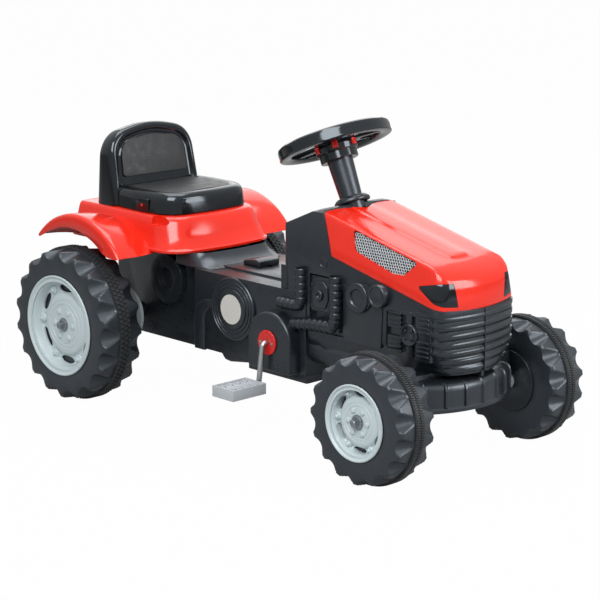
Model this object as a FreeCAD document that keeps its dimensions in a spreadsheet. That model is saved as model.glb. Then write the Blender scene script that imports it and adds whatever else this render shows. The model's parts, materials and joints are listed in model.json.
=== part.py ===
"""Ride-on pedal tractor: a parametric assembly of its separate pieces, in millimetres.

+X points to the nose, +Y to the driver's left and +Z up. The origin is on the ground, under the middle of
the tractor. Pieces are drawn with x measured from the rear axle, and HOME moves them to that origin.
"""
import FreeCAD, Part
import math
import os
import Sketcher
from types import SimpleNamespace

Vec = FreeCAD.Vector
Turn = FreeCAD.Rotation
Place = FreeCAD.Placement

SIZES = {
    # fits and walls
    "wall": 3.5,
    "run_fit": 0.05,
    "seat_fit": 0.1,
    "move_gap": 0.4,
    # wheels and track
    "wheelbase": "=wide_end + 254",
    "rear_track_half": 218,
    "front_track_half": 196,
    "rear_tyre_r": 150,
    "rear_tyre_w": 92,
    "rear_bore_r": 86,
    "rear_flange_r": 98,
    "rear_band_w": 24,
    "rear_scoop_r": 20,
    "rear_lugs": 18,
    "rear_disc_depth": 28,
    "rear_hub_rise": 12,
    "rear_hub_r": 24,
    "rear_hub_tail": 74,
    "rear_tail_r": 15,
    "rear_tail_disc_r": 55,
    "rear_tail_disc_t": 6,
    "rear_dome_r": 60,
    "front_tyre_r": 114.5,
    "front_tyre_w": 84,
    "front_bore_r": 57,
    "front_flange_r": 66.5,
    "front_band_w": 12,
    "front_scoop_r": 17,
    "front_lugs": 16,
    "front_disc_depth": 22,
    "front_hub_rise": 9,
    "front_hub_r": 18,
    "front_hub_tail": 0,
    "front_tail_r": 14,
    "front_dome_r": 38,
    "band_depth": 6,
    "crown_drop": 3,
    "shoulder_drop": 6,
    "scoop_lift": 3,
    "scoop_tip_r": 6,
    "tyre_wall": 4,
    "rim_wall": 4,
    "flange_t": 3,
    "flange_w": 12,
    "hub_face": 4,
    "rim_slots": 6,
    "slot_long": 30,
    "slot_deep": 12,
    "rim_boss_r": 6,
    "rim_boss_rise": 7,
    "axle_r": 6,
    "cap_r": 11,
    "cap_t": 8,
    "axle_end": 5,
    # rear chassis
    "tail": 62,
    "spine_half": 66,
    "spine_floor": 108,
    "wide_start": 218,
    "wide_end": 520,
    "deck_half": 105,
    "floor_z": 122,
    "deck_z": 273,
    "pedestal_front": 206,
    "deck_plate_start": 225,
    "deck_plate_end": "=wide_end - 80",
    "deck_plate_half": 60,
    "deck_plate_t": 4,
    "gear_boss_x": 105,
    "gear_boss_z": 232,
    "gear_boss_r": 48,
    "gear_boss_half": 82,
    "gear_recess_r": 22,
    "gear_recess": 9,
    "keel_end": "=wide_start + 82",
    "hitch_long": 52,
    "hitch_half": 22,
    "hitch_z": 196,
    "hitch_t": 12,
    "hitch_pin_r": 7,
    # crank and drive
    "crank_x": "=wide_end - 70",
    "crank_z": 176,
    "crank_boss_r": "=(crank_x - cover_x) * 0.44",
    "crank_boss_half": 132,
    "crank_throw": 80,
    "crank_lean": 8,
    "crank_rod_r": 5,
    "crank_arm_y": 145,
    "crank_bend_r": 7,
    "crank_bush_r": 23,
    "crank_bush_t": 4,
    "crank_sleeve_r": 10,
    "crank_sleeve_long": 24,
    "chain_y": -40,
    "chain_pitch": 12.7,
    "chain_tall": 9,
    "chain_plate_t": 1.5,
    "chain_gap": 6,
    "roller_r": 3.6,
    "sprocket_t": 3,
    "sprocket_tip": 1,
    "crank_teeth": 20,
    "rear_teeth": 14,
    "sprocket_hub_w": 18,
    "sprocket_hub_r": 13,
    "pedal_long": 80,
    "pedal_wide": 56,
    "pedal_tall": 20,
    "pedal_rim": 4,
    "pedal_tray": 3.5,
    "pedal_stud_r": 5,
    "guard_start": "=keel_end + 60",
    "guard_end": "=wide_end - 4",
    "guard_half": "=deck_half - 7",
    "guard_z": 104,
    "axle_bush_r": 11,
    "axle_bush_flange_r": 17,
    "axle_bush_flange_t": 4,
    "cover_x": "=wide_start + (wide_end - wide_start) * 0.364",
    "cover_z": 213,
    "cover_r": "=(crank_x - cover_x) * 0.49",
    "cover_t": 7,
    "badge_r": "=cover_r * 0.467",
    "badge_t": 1,
    # front body
    "dash_x": "=wide_end - 68",
    "body_half": 105,
    "nose_half": "=body_half - 5",
    "nose_corner_x": "=wide_end + 308",
    "nose_x": "=wide_end + 328",
    "nose_edge_r": 26,
    "chin_z": 216,
    "chin_in": 32,
    "front_floor": 174,
    "front_step_x": "=wide_end + 2",
    "front_step_z": 205,
    "front_floor_x": "=wide_end + 40",
    "dash_edge_x": "=wide_end + 26",
    "hood_foot_x": "=wide_end + 64",
    "hood_foot_z": 350,
    "hood_front_z": 287,
    "grille_ribs": 7,
    "grille_rib_tall": 8,
    "grille_rib_out": 2.5,
    "grille_start": "=nose_x - 56",
    "grille_low": 180,
    "pulley_r": 25,
    "pulley_t": 7,
    "idler_r": 18,
    "pulley_x": "=wide_end + 140",
    "pulley_z": 291,
    "engine_x": "=wide_end + 42",
    "engine_z": 277,
    "engine_long": 60,
    "engine_tall": 64,
    "engine_bolt_r": 9,
    "engine_bay": 8,
    "hose_x": "=wide_end + 78",
    "hose_z": 222,
    "hose_r": 7,
    "alternator_x": "=wide_end + 249",
    "alternator_z": 242,
    "alternator_long": 106,
    "alternator_tall": 66,
    "alternator_bay": 5,
    "cone_small_r": 20,
    "cone_big_r": 36,
    "cone_long": 105,
    # hood
    "hood_wall": 3,
    "hood_top_z": 425,
    "hood_slope": 0.242,
    "hood_low_half": "=body_half - 2",
    "hood_shoulder_half": "=body_half - 17",
    "hood_top_half": "=body_half - 31",
    "hood_panel_half": 24,
    "hood_panel_rise": 3,
    "shoulder_fall": 4,
    "hood_round": 46,
    "lamp_inner": "=nose_half - 37",
    "lamp_start": "=nose_x - 65",
    "lamp_low": 301,
    "lamp_top": 335,
    "lamp_side": 38,
    "mesh_gap": 46,
    "mesh_long": 142,
    "mesh_tall": 40,
    # steering
    "steer_x": "=wide_end + 13",
    "steer_z": 425,
    "steer_tilt": 24,
    "steer_throw": 50,
    "rod_r": 5,
    "rod_low_z": 172,
    "rod_pin_long": 32,
    "rod_bend_r": 9,
    "bearing_r": 11,
    "bearing_long": 30,
    "column_low_r": 20.5,
    "column_top_r": 23.5,
    "column_sink": 14,
    "collar_r": 33,
    "collar_t": 12,
    "wheel_rise": 117,
    "wheel_r": 105,
    "wheel_grip": 24,
    "wheel_tall": 24,
    "hub_r": 35,
    "hub_low": 36,
    "hub_top": 8,
    "socket_long": 16,
    "horn_r": 27,
    "horn_travel": 4,
    "horn_t": 13,
    "spoke_w": 30,
    "spoke_t": 9,
    "panel_half": 70,
    "panel_long": 34,
    "panel_t": 2,
    # front axle
    "kingpin_y": 138,
    "kingpin_r": 6,
    "kingpin_boss_r": 13,
    "kingpin_bush_r": 9,
    "beam_low": 112,
    "beam_top": 165,
    "beam_r": 190,
    "beam_front": "=wheelbase + 76",
    "beam_t": 8,
    "beam_plate_t": 6,
    "beam_end_y": 117,
    "beam_ribs": 7,
    "beam_rib_w": 5,
    "beam_rib_out": 4,
    "cross_half": 16,
    "cross_low": 136,
    "arm_low": 122,
    "arm_t": 6,
    "arm_half": 9,
    "knuckle_r": 11,
    "tie_pin_r": 4,
    "tie_t": 5,
    # seat and seat base
    "base_low_z": 295,
    "base_top_z": 362,
    "base_low_half": 133,
    "base_top_half": 120,
    "base_rear_x": -132,
    "base_low_front": 200,
    "base_top_front": 174,
    "base_corner_r": 60,
    "fender_x": -6,
    "fender_z": 236,
    "fender_r": 129,
    "fender_outer_y": 225,
    "fender_t": 4,
    "fender_skirt": 14,
    "fender_rear_angle": 146,
    "fender_front_angle": 24,
    "seat_half": 110,
    "seat_front": 158,
    "seat_rear": -76,
    "seat_pan_z": 404,
    "seat_corner_r": 50,
    "back_foot_x": -16,
    "back_top_x": -36,
    "back_top_z": 520,
    "back_top_t": 26,
    "back_side_z": 468,
    "back_side_half": 102,
    "back_corner": 34,
    "back_arch": 9,
    # deck selector
    "knob_x": "=wide_start + 72",
    "knob_long": 46,
    "knob_wide": 52,
    "knob_tall": 14,
    "stem_long": 16,
    "stem_wide": 10,
    "stem_deep": 22,
    "knob_travel": 24,
    # fasteners
    "screw_head_r": 2.5,
    "screw_head_t": 1.5,
}

doc = FreeCAD.newDocument("ride_on_tractor")
sheet = doc.addObject("Spreadsheet::Sheet", "Sizes")
for row, alias in enumerate(SIZES, 1):
    sheet.set("A%d" % row, alias)
    sheet.setAlias("B%d" % row, alias)
for row, number in enumerate(SIZES.values(), 1):
    sheet.set("B%d" % row, str(number))
doc.recompute()

NODES = []


def formula_of(number):
    """The sheet formula behind a size, or a plain number as it is."""
    return getattr(number, "formula", str(float(number)))


class Size(float):
    """A number that remembers the sheet formula it came from."""

    def __new__(cls, number, formula):
        size = float.__new__(cls, number)
        size.formula = formula
        return size

    @classmethod
    def joined(cls, left, sign, right, number):
        return cls(number, "(%s %s %s)" % (formula_of(left), sign, formula_of(right)))

    def __add__(self, other):
        return self.joined(self, "+", other, float(self) + float(other))

    def __radd__(self, other):
        return self.joined(other, "+", self, float(other) + float(self))

    def __sub__(self, other):
        return self.joined(self, "-", other, float(self) - float(other))

    def __rsub__(self, other):
        return self.joined(other, "-", self, float(other) - float(self))

    def __mul__(self, other):
        return self.joined(self, "*", other, float(self) * float(other))

    def __rmul__(self, other):
        return self.joined(other, "*", self, float(other) * float(self))

    def __truediv__(self, other):
        return self.joined(self, "/", other, float(self) / float(other))

    def __rtruediv__(self, other):
        return self.joined(other, "/", self, float(other) / float(self))

    def __neg__(self):
        return self.joined(-1, "*", self, -float(self))


def sine(degrees):
    return Size(math.sin(math.radians(degrees)), "sin(%s)" % formula_of(degrees))


S = SimpleNamespace(**{alias: Size(sheet.get(alias), "Sizes." + alias) for alias in SIZES})


def of_end(end, name):
    """A size of the rear or the front wheels."""
    return getattr(S, "%s_%s" % (end, name))


def bind(thing, **sizes):
    """Tie an object's properties to the sheet."""
    for name, value in sizes.items():
        thing.setExpression(name, formula_of(value))
    return thing


REAR_X = -(S.wheelbase + S.front_tyre_r - S.rear_tyre_r) / 2
HOME = Place(Vec(REAR_X, 0, 0), Turn())
SIDES = (("left", 1), ("right", -1))


def finish(piece, place=None):
    """Keep a piece as a node, at its place from the rear axle."""
    piece.Placement = HOME * place if place else HOME
    NODES.append(piece)
    return piece


def shaped(label, shape, place=None):
    """A node whose form is drawn with Part's own functions."""
    piece = doc.addObject("Part::Feature", label)
    piece.Shape = shape
    return finish(piece, place)


def role(body, name):
    return next(thing for thing in body.Origin.OriginFeatures if thing.Role == name)


def outline(body, plane, points):
    """A closed outline of straight runs, with each corner bound to the sheet."""
    sketch = body.newObject("Sketcher::SketchObject", body.Name + "_outline")
    sketch.AttachmentSupport = [(role(body, plane), "")]
    sketch.MapMode = "FlatFace"
    corners = [Vec(u, v, 0) for u, v in points]
    count = len(corners)
    for i in range(count):
        sketch.addGeometry(Part.LineSegment(corners[i], corners[(i + 1) % count]), False)
    for i in range(count):
        sketch.addConstraint(Sketcher.Constraint("Coincident", i, 2, (i + 1) % count, 1))
    for i, corner in enumerate(points):
        for kind, value in zip(("DistanceX", "DistanceY"), corner):
            number = sketch.addConstraint(Sketcher.Constraint(kind, -1, 1, i, 1, float(value)))
            if isinstance(value, Size):
                sketch.setExpression("Constraints[%d]" % number, value.formula)
    return sketch


def feature(body, kind, sketch=None, **formulas):
    """Add one PartDesign feature to a body, after its tip."""
    thing = body.newObject("PartDesign::" + kind, body.Name + "_" + kind.lower())
    if sketch:
        thing.Profile = sketch
    return bind(thing, **formulas)


def turned(label, *profiles):
    """A body turned about its own Z axis from (radius, height) outlines."""
    body = doc.addObject("PartDesign::Body", label)
    for profile in profiles:
        sketch = outline(body, "XZ_Plane", profile)
        spin = feature(body, "Revolution", sketch)
        spin.ReferenceAxis = (sketch, ["V_Axis"])
        spin.Angle = 360
    return body


def slab(body, kind, plane, points, width):
    """A pad or a pocket of an outline, to both sides of its plane."""
    thing = feature(body, kind, outline(body, plane, points), Length=width)
    thing.SideType = "Symmetric"
    return thing


def ring_of(body, copied, count):
    """Repeat features of a body around its Z axis."""
    pattern = feature(body, "PolarPattern", Occurrences=count)
    pattern.Originals = copied
    pattern.Axis = (role(body, "Z_Axis"), [""])
    pattern.Angle = 360
    body.Tip = pattern
    return pattern


def drum(body, kind, base, along, **formulas):
    """A cylinder or cone feature of a body, standing at base along a direction."""
    thing = feature(body, kind, **formulas)
    thing.Placement = Place(base, Turn(Vec(0, 0, 1), along))
    return thing


def prism(points, plane, low, high):
    """A straight-sided solid over an outline, between two distances along the third axis."""
    lift = {
        "XZ": lambda u, v, w: Vec(u, w, v),
        "YZ": lambda u, v, w: Vec(w, u, v),
        "XY": lambda u, v, w: Vec(u, v, w),
    }[plane]
    corners = [lift(u, v, low) for u, v in points]
    face = Part.Face(Part.makePolygon(corners + corners[:1]))
    return face.extrude(lift(0, 0, high - low) - lift(0, 0, 0))


def box(low, high):
    """A block between two corners."""
    span = [b - a for a, b in zip(low, high)]
    return Part.makeBox(span[0], span[1], span[2], Vec(*low))


def rod(radius, start, end):
    """A round bar between two points."""
    return Part.makeCylinder(radius, (end - start).Length, start, end - start)


def bent_bar(radius, points, bend):
    """A round bar along straight runs joined by tangent arcs of one radius."""
    edges = []
    start = points[0]
    for before, corner, after in zip(points, points[1:], points[2:]):
        into = (before - corner).normalize()
        out = (after - corner).normalize()
        half = into.getAngle(out) / 2
        reach = bend / math.tan(half)
        middle = corner + (into + out).normalize() * (bend / math.sin(half) - bend)
        edges.append(Part.LineSegment(start, corner + into * reach).toShape())
        edges.append(Part.Arc(corner + into * reach, middle, corner + out * reach).toShape())
        start = corner + out * reach
    edges.append(Part.LineSegment(start, points[-1]).toShape())
    heading = points[1] - points[0]
    section = Part.Wire(Part.Circle(points[0], heading, radius).toShape())
    return Part.Wire(edges).makePipeShell([section], True, False)


def rounded_plan(rear, front, half, corner):
    """A plan outline with two rounded front corners, as a wire at z = 0."""
    slant = corner * (1 - math.sqrt(0.5))
    edges = [
        Part.LineSegment(Vec(rear, half, 0), Vec(rear, -half, 0)).toShape(),
        Part.LineSegment(Vec(rear, -half, 0), Vec(front - corner, -half, 0)).toShape(),
        Part.Arc(
            Vec(front - corner, -half, 0),
            Vec(front - slant, -half + slant, 0),
            Vec(front, -half + corner, 0),
        ).toShape(),
        Part.LineSegment(Vec(front, -half + corner, 0), Vec(front, half - corner, 0)).toShape(),
        Part.Arc(
            Vec(front, half - corner, 0),
            Vec(front - slant, half - slant, 0),
            Vec(front - corner, half, 0),
        ).toShape(),
        Part.LineSegment(Vec(front - corner, half, 0), Vec(rear, half, 0)).toShape(),
    ]
    return Part.Wire(edges)


def on_axle(side, y, z, x=0.0):
    """The place of a turned piece whose Z axis points outwards from the tractor's middle."""
    return Place(Vec(x, side * y, z), Turn(Vec(1, 0, 0), -90 * side))


# steering line: s runs up the column from the dash
TILT = math.radians(S.steer_tilt)
STEER_UP = Vec(-math.sin(TILT), 0, math.cos(TILT))
STEER_BACK = Vec(-math.cos(TILT), 0, -math.sin(TILT))
STEER_FOOT = Vec(S.steer_x, 0, S.steer_z)


def on_column(distance):
    """A place on the steering line, with its Z axis up the column."""
    return Place(STEER_FOOT + STEER_UP * distance, Turn(Vec(0, 1, 0), -S.steer_tilt))


def steer_at(height):
    """The steering line's point at a height above the ground."""
    return STEER_FOOT + STEER_UP * ((height - STEER_FOOT.z) / math.cos(TILT))


# wheels
def tyre(end, name):
    """A hollow moulded tyre with staggered conical scoops and a groove for its tread band."""
    half = of_end(end, "tyre_w") / 2
    reach = of_end(end, "tyre_r")
    bore = of_end(end, "bore_r")
    band = of_end(end, "band_w") / 2
    body = turned(
        name,
        [
            (bore, -half),
            (reach - S.shoulder_drop, -half),
            (reach - S.crown_drop, -band),
            (reach - S.band_depth, -band),
            (reach - S.band_depth, band),
            (reach - S.crown_drop, band),
            (reach - S.shoulder_drop, half),
            (bore, half),
        ],
    )
    hollow_r = reach + S.scoop_lift - of_end(end, "scoop_r") - S.tyre_wall
    hollow = outline(
        body,
        "XZ_Plane",
        [
            (bore + S.tyre_wall, S.tyre_wall - half),
            (hollow_r, S.tyre_wall - half),
            (hollow_r, half - S.tyre_wall),
            (bore + S.tyre_wall, half - S.tyre_wall),
        ],
    )
    cavity = feature(body, "Groove", hollow)
    cavity.ReferenceAxis = (hollow, ["V_Axis"])
    cavity.Angle = 360
    scoop_at = reach + S.scoop_lift
    start = half + S.seat_fit
    half_pitch = math.pi / of_end(end, "lugs")
    for side, phase in ((1, 0.0), (-1, half_pitch)):
        base = Vec(scoop_at * math.cos(phase), scoop_at * math.sin(phase), side * start)
        scoop = drum(
            body,
            "SubtractiveCone",
            base,
            Vec(0, 0, -side),
            Radius1=of_end(end, "scoop_r"),
            Radius2=S.scoop_tip_r,
            Height=half - band - S.seat_fit,
        )
        ring_of(body, [scoop], of_end(end, "lugs"))
    return body


def tread_band(end, name):
    """The rubber ring that runs in the tyre's middle groove and touches the ground."""
    half = of_end(end, "band_w") / 2 - S.seat_fit
    inner = of_end(end, "tyre_r") - S.band_depth + S.seat_fit
    outer = of_end(end, "tyre_r")
    chamfer = S.band_depth / 4
    return turned(
        name,
        [
            (inner, S.seat_fit - of_end(end, "band_w") / 2),
            (outer - chamfer, S.seat_fit - of_end(end, "band_w") / 2),
            (outer, S.seat_fit + chamfer - of_end(end, "band_w") / 2),
            (outer, half - chamfer),
            (outer - chamfer, half),
            (inner, half),
        ],
    )


def hub_height(end):
    """How far the hub's outer face stands from the wheel's middle plane."""
    return of_end(end, "tyre_w") / 2 - of_end(end, "disc_depth") + of_end(end, "hub_rise") + S.hub_face


def rim(end, name):
    """A dished rim: flange, barrel, slotted disc with bolt bosses, and a hub on the axle."""
    half = of_end(end, "tyre_w") / 2
    disc = half - of_end(end, "disc_depth")
    barrel = of_end(end, "bore_r") - S.seat_fit
    inside = barrel - S.rim_wall
    hub = of_end(end, "hub_r")
    face = hub_height(end)
    tail = -half - of_end(end, "hub_tail")
    hole = S.axle_r + S.run_fit
    tail_r = of_end(end, "tail_r")
    tail_end = [(tail_r, tail)]
    barrel_end = 3 * S.rim_wall - half
    if end == "rear":
        barrel_end = -half
        tail_end = [
            (S.rear_tail_disc_r, tail),
            (S.rear_tail_disc_r, tail + S.rear_tail_disc_t),
            (tail_r, tail + S.rear_tail_disc_t),
        ]
    body = turned(
        name,
        [
            (of_end(end, "flange_r"), half),
            (of_end(end, "flange_r"), half + S.flange_t),
            (of_end(end, "flange_r") - S.flange_w, half + S.flange_t),
            (inside, half - S.flange_t),
            (inside, disc),
            (of_end(end, "dome_r"), disc),
            (hub, face - S.hub_face),
            (hub, face),
            (hole, face),
            (hole, tail),
            *tail_end,
            (tail_r, disc - S.rim_wall),
            (inside, disc - S.rim_wall),
            (inside, barrel_end),
            (barrel, barrel_end),
            (barrel, half),
        ],
    )
    slot_at = inside - S.slot_deep
    slot = slab(
        body,
        "Pocket",
        "XY_Plane",
        [
            (slot_at, -S.slot_long / 2),
            (inside - S.rim_wall, -S.slot_long / 4),
            (inside - S.rim_wall, S.slot_long / 4),
            (slot_at, S.slot_long / 2),
            (slot_at - S.slot_deep / 4, 0),
        ],
        of_end(end, "tyre_w"),
    )
    ring_of(body, [slot], S.rim_slots)
    half_pitch = math.pi / S.rim_slots
    boss_at = slot_at
    boss = drum(
        body,
        "AdditiveCylinder",
        Vec(boss_at * math.cos(half_pitch), boss_at * math.sin(half_pitch), (disc - S.rim_wall / 2)),
        Vec(0, 0, 1),
        Radius=S.rim_boss_r,
        Height=S.rim_boss_rise + S.rim_wall / 2,
    )
    ring_of(body, [boss], S.rim_slots)
    return body


def axle_cap(name):
    """A push-on metal cap over the end of an axle."""
    return turned(
        name,
        [
            (S.axle_r + S.seat_fit, S.move_gap),
            (S.cap_r, S.move_gap),
            (S.cap_r, S.move_gap + S.cap_t / 3),
            (S.axle_r + S.seat_fit, S.move_gap + S.cap_t),
            (0, S.move_gap + S.cap_t),
            (0, S.axle_end + S.seat_fit),
            (S.axle_r + S.seat_fit, S.axle_end + S.seat_fit),
        ],
    )


def inner_disc(name):
    """The black ring that closes a front wheel's inner side."""
    half = S.front_tyre_w / 2
    inside = S.front_bore_r - S.seat_fit
    return turned(
        name,
        [
            (S.front_tail_r + S.seat_fit, -half),
            (inside, -half),
            (inside, 2 * S.rim_wall - half),
            (inside - S.rim_wall, 2 * S.rim_wall - half),
            (inside - 2 * S.rim_wall, S.rim_wall - half),
            (S.front_tail_r + S.seat_fit, S.rim_wall - half),
        ],
    )


def build_wheels():
    for end, x in (("rear", 0.0), ("front", S.wheelbase)):
        track = of_end(end, "track_half")
        height = of_end(end, "tyre_r")
        for name, side in SIDES:
            place = on_axle(side, track, height, x)
            finish(tyre(end, "%s_tyre_%s" % (end, name)), place)
            finish(tread_band(end, "%s_tread_band_%s" % (end, name)), place)
            finish(rim(end, "%s_rim_%s" % (end, name)), place)
            face = track + hub_height(end)
            finish(axle_cap("%s_cap_%s" % (end, name)), on_axle(side, face, height, x))
            if end == "front":
                finish(inner_disc("front_inner_disc_" + name), place)


# drive
def sprocket(name, teeth, bore):
    """A flat sprocket with round roller seats and a hub."""
    body = turned(
        name,
        [
            (bore + S.seat_fit, -S.sprocket_hub_w / 2),
            (S.sprocket_hub_r, -S.sprocket_hub_w / 2),
            (S.sprocket_hub_r, -S.sprocket_t / 2),
            (pitch_size(teeth) + S.sprocket_tip, -S.sprocket_t / 2),
            (pitch_size(teeth) + S.sprocket_tip, S.sprocket_t / 2),
            (S.sprocket_hub_r, S.sprocket_t / 2),
            (S.sprocket_hub_r, S.sprocket_hub_w / 2),
            (bore + S.seat_fit, S.sprocket_hub_w / 2),
        ],
    )
    seat = drum(
        body,
        "SubtractiveCylinder",
        Vec(pitch_size(teeth), 0, -S.sprocket_t),
        Vec(0, 0, 1),
        Radius=S.roller_r + 2 * S.move_gap,
        Height=2 * S.sprocket_t,
    )
    ring_of(body, [seat], teeth)
    return body


def pitch_size(teeth):
    """The radius of a sprocket's roller circle, as a formula."""
    return S.chain_pitch / 2 / sine(180 / teeth)


def tangent_loop(small, big, margin):
    """The outline of a loop round two circles, each given as (centre, radius), widened by a margin."""
    (rear, rear_r), (front, front_r) = small, big
    rear_r += margin
    front_r += margin
    along = front - rear
    heading = math.atan2(along.z, along.x)
    lean = math.acos((rear_r - front_r) / along.Length)

    def spot(centre, radius, angle):
        return centre + Vec(math.cos(angle), 0, math.sin(angle)) * radius

    upper = heading + lean
    lower = heading - lean
    edges = [
        Part.LineSegment(spot(rear, rear_r, upper), spot(front, front_r, upper)).toShape(),
        Part.Arc(
            spot(front, front_r, upper), spot(front, front_r, heading), spot(front, front_r, lower)
        ).toShape(),
        Part.LineSegment(spot(front, front_r, lower), spot(rear, rear_r, lower)).toShape(),
        Part.Arc(
            spot(rear, rear_r, lower), spot(rear, rear_r, heading + math.pi), spot(rear, rear_r, upper)
        ).toShape(),
    ]
    return Part.Face(Part.Wire(edges)), upper, lower


def build_chain():
    """Two loops of side plates joined by rollers that sit in the sprockets' seats."""
    y = S.chain_y
    rear = Vec(0, y, S.rear_tyre_r)
    front = Vec(S.crank_x, y, S.crank_z)
    rear_r = pitch_size(S.rear_teeth)
    front_r = pitch_size(S.crank_teeth)
    half = S.chain_tall / 2
    outer, upper, lower = tangent_loop((rear, rear_r), (front, front_r), half)
    inner = tangent_loop((rear, rear_r), (front, front_r), -half)[0]
    loop = outer.cut(inner)
    plate = S.chain_plate_t
    gap = S.chain_gap
    plates = []
    for start in (-gap / 2 - plate, gap / 2):
        loop_at = loop.copy()
        loop_at.translate(Vec(0, start, 0))
        plates.append(loop_at.extrude(Vec(0, plate, 0)))

    def seats(centre, radius, teeth, first, last):
        step = 2 * math.pi / teeth
        start = math.ceil(first / step - 0.3)
        stop = math.floor(last / step + 0.3)
        angles = [step * k for k in range(start, stop + 1)]
        return [centre + Vec(math.cos(a), 0, math.sin(a)) * radius for a in angles]

    front_seats = seats(front, front_r, S.crank_teeth, lower, upper)
    rear_seats = seats(rear, rear_r, S.rear_teeth, upper, lower + 2 * math.pi)
    spots = front_seats + rear_seats
    for start, end in ((front_seats[-1], rear_seats[0]), (rear_seats[-1], front_seats[0])):
        links = round((end - start).Length / S.chain_pitch)
        spots += [start + (end - start) * (k / links) for k in range(1, links)]
    long = Vec(0, gap + plate, 0)
    rollers = [Part.makeCylinder(S.roller_r, long.y, spot - long / 2, long) for spot in spots]
    shaped("chain", plates[0].multiFuse(plates[1:] + rollers))


def crank_pin(side):
    """The middle of a crank's pedal pin in the X and Z directions."""
    lean = math.radians(S.crank_lean)
    reach = S.crank_throw * side
    return S.crank_x + reach * math.sin(lean), S.crank_z + reach * math.cos(lean)


def build_pedals():
    wide = S.pedal_wide
    long = S.pedal_long
    tall = S.pedal_tall
    edge = S.pedal_rim
    tray = S.pedal_tray
    stud = S.pedal_stud_r
    for name, side in SIDES:
        x, z = crank_pin(side)
        block = box((-wide / 2, -long / 2, -tall / 2), (wide / 2, long / 2, tall / 2))
        well_x = wide / 2 - edge
        well_y = long / 2 - edge
        well = box((-well_x, -well_y, tall / 2 - tray), (well_x, well_y, tall / 2))
        studs = [
            Part.makeCylinder(stud, tray, Vec(wide / 4 * u, long / 4 * v, tall / 2 - tray))
            for u in (-1, 1)
            for v in (-1.3, -0.45, 0.45, 1.3)
        ]
        blind = Vec(0, side * (long / 2 - edge), 0)
        bore = rod(S.crank_rod_r + S.run_fit, Vec(0, -side * long, 0), blind)
        middle = S.crank_arm_y + S.crank_bend_r + S.move_gap + S.pedal_long / 2
        shape = block.cut(well).multiFuse(studs).cut(bore)
        shaped("pedal_" + name, shape, Place(Vec(x, side * middle, z), Turn()))


def build_crank():
    arm = S.crank_arm_y
    end = S.crank_arm_y + S.crank_bend_r + S.pedal_long - S.pedal_rim
    left = crank_pin(1)
    right = crank_pin(-1)
    middle = (S.crank_x, S.crank_z)
    points = [
        Vec(right[0], -end, right[1]),
        Vec(right[0], -arm, right[1]),
        Vec(middle[0], -arm, middle[1]),
        Vec(middle[0], arm, middle[1]),
        Vec(left[0], arm, left[1]),
        Vec(left[0], end, left[1]),
    ]
    shaped("crankshaft", bent_bar(S.crank_rod_r, points, S.crank_bend_r))


def flanged_bush(name, bore, sleeve, length, flange, thick, nose=None):
    """A bush with a flange outside a wall, a sleeve through it and, for a wheel, a spacing nose."""
    outer = [(bore, thick)]
    if nose:
        outer = [(sleeve, thick), (sleeve, nose), (bore, nose)]
    return turned(
        name,
        [
            (bore, -length),
            (sleeve, -length),
            (sleeve, 0),
            (flange, 0),
            (flange, thick),
            *outer,
        ],
    )


def build_drive():
    axle_z = S.rear_tyre_r
    half = S.rear_track_half + S.axle_end + hub_height("rear")
    axle = doc.addObject("Part::Cylinder", "rear_axle")
    bind(axle, Radius=S.axle_r, Height=2 * (S.rear_track_half + S.axle_end + hub_height("rear")))
    finish(axle, on_axle(1, -half, axle_z))
    across = Turn(Vec(1, 0, 0), -90)
    chain_y = S.chain_y
    finish(sprocket("rear_sprocket", S.rear_teeth, S.axle_r), Place(Vec(0, chain_y, axle_z), across))
    crank = Vec(S.crank_x, chain_y, S.crank_z)
    finish(sprocket("crank_sprocket", S.crank_teeth, S.crank_rod_r), Place(crank, across))
    build_chain()
    build_crank()
    build_pedals()
    for name, side in SIDES:
        bush = flanged_bush(
            "rear_axle_bush_" + name,
            S.axle_r + S.run_fit,
            S.axle_bush_r,
            3 * S.wall,
            S.axle_bush_flange_r,
            S.axle_bush_flange_t,
            S.rear_track_half - S.rear_tyre_w / 2 - S.rear_hub_tail - S.spine_half - S.move_gap,
        )
        finish(bush, on_axle(side, S.spine_half, axle_z))
        bush = flanged_bush(
            "crank_bush_" + name,
            S.crank_rod_r + S.run_fit,
            S.crank_sleeve_r,
            S.crank_sleeve_long,
            S.crank_bush_r,
            S.crank_bush_t,
        )
        finish(bush, on_axle(side, S.crank_boss_half, crank.z, crank.x))


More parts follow.
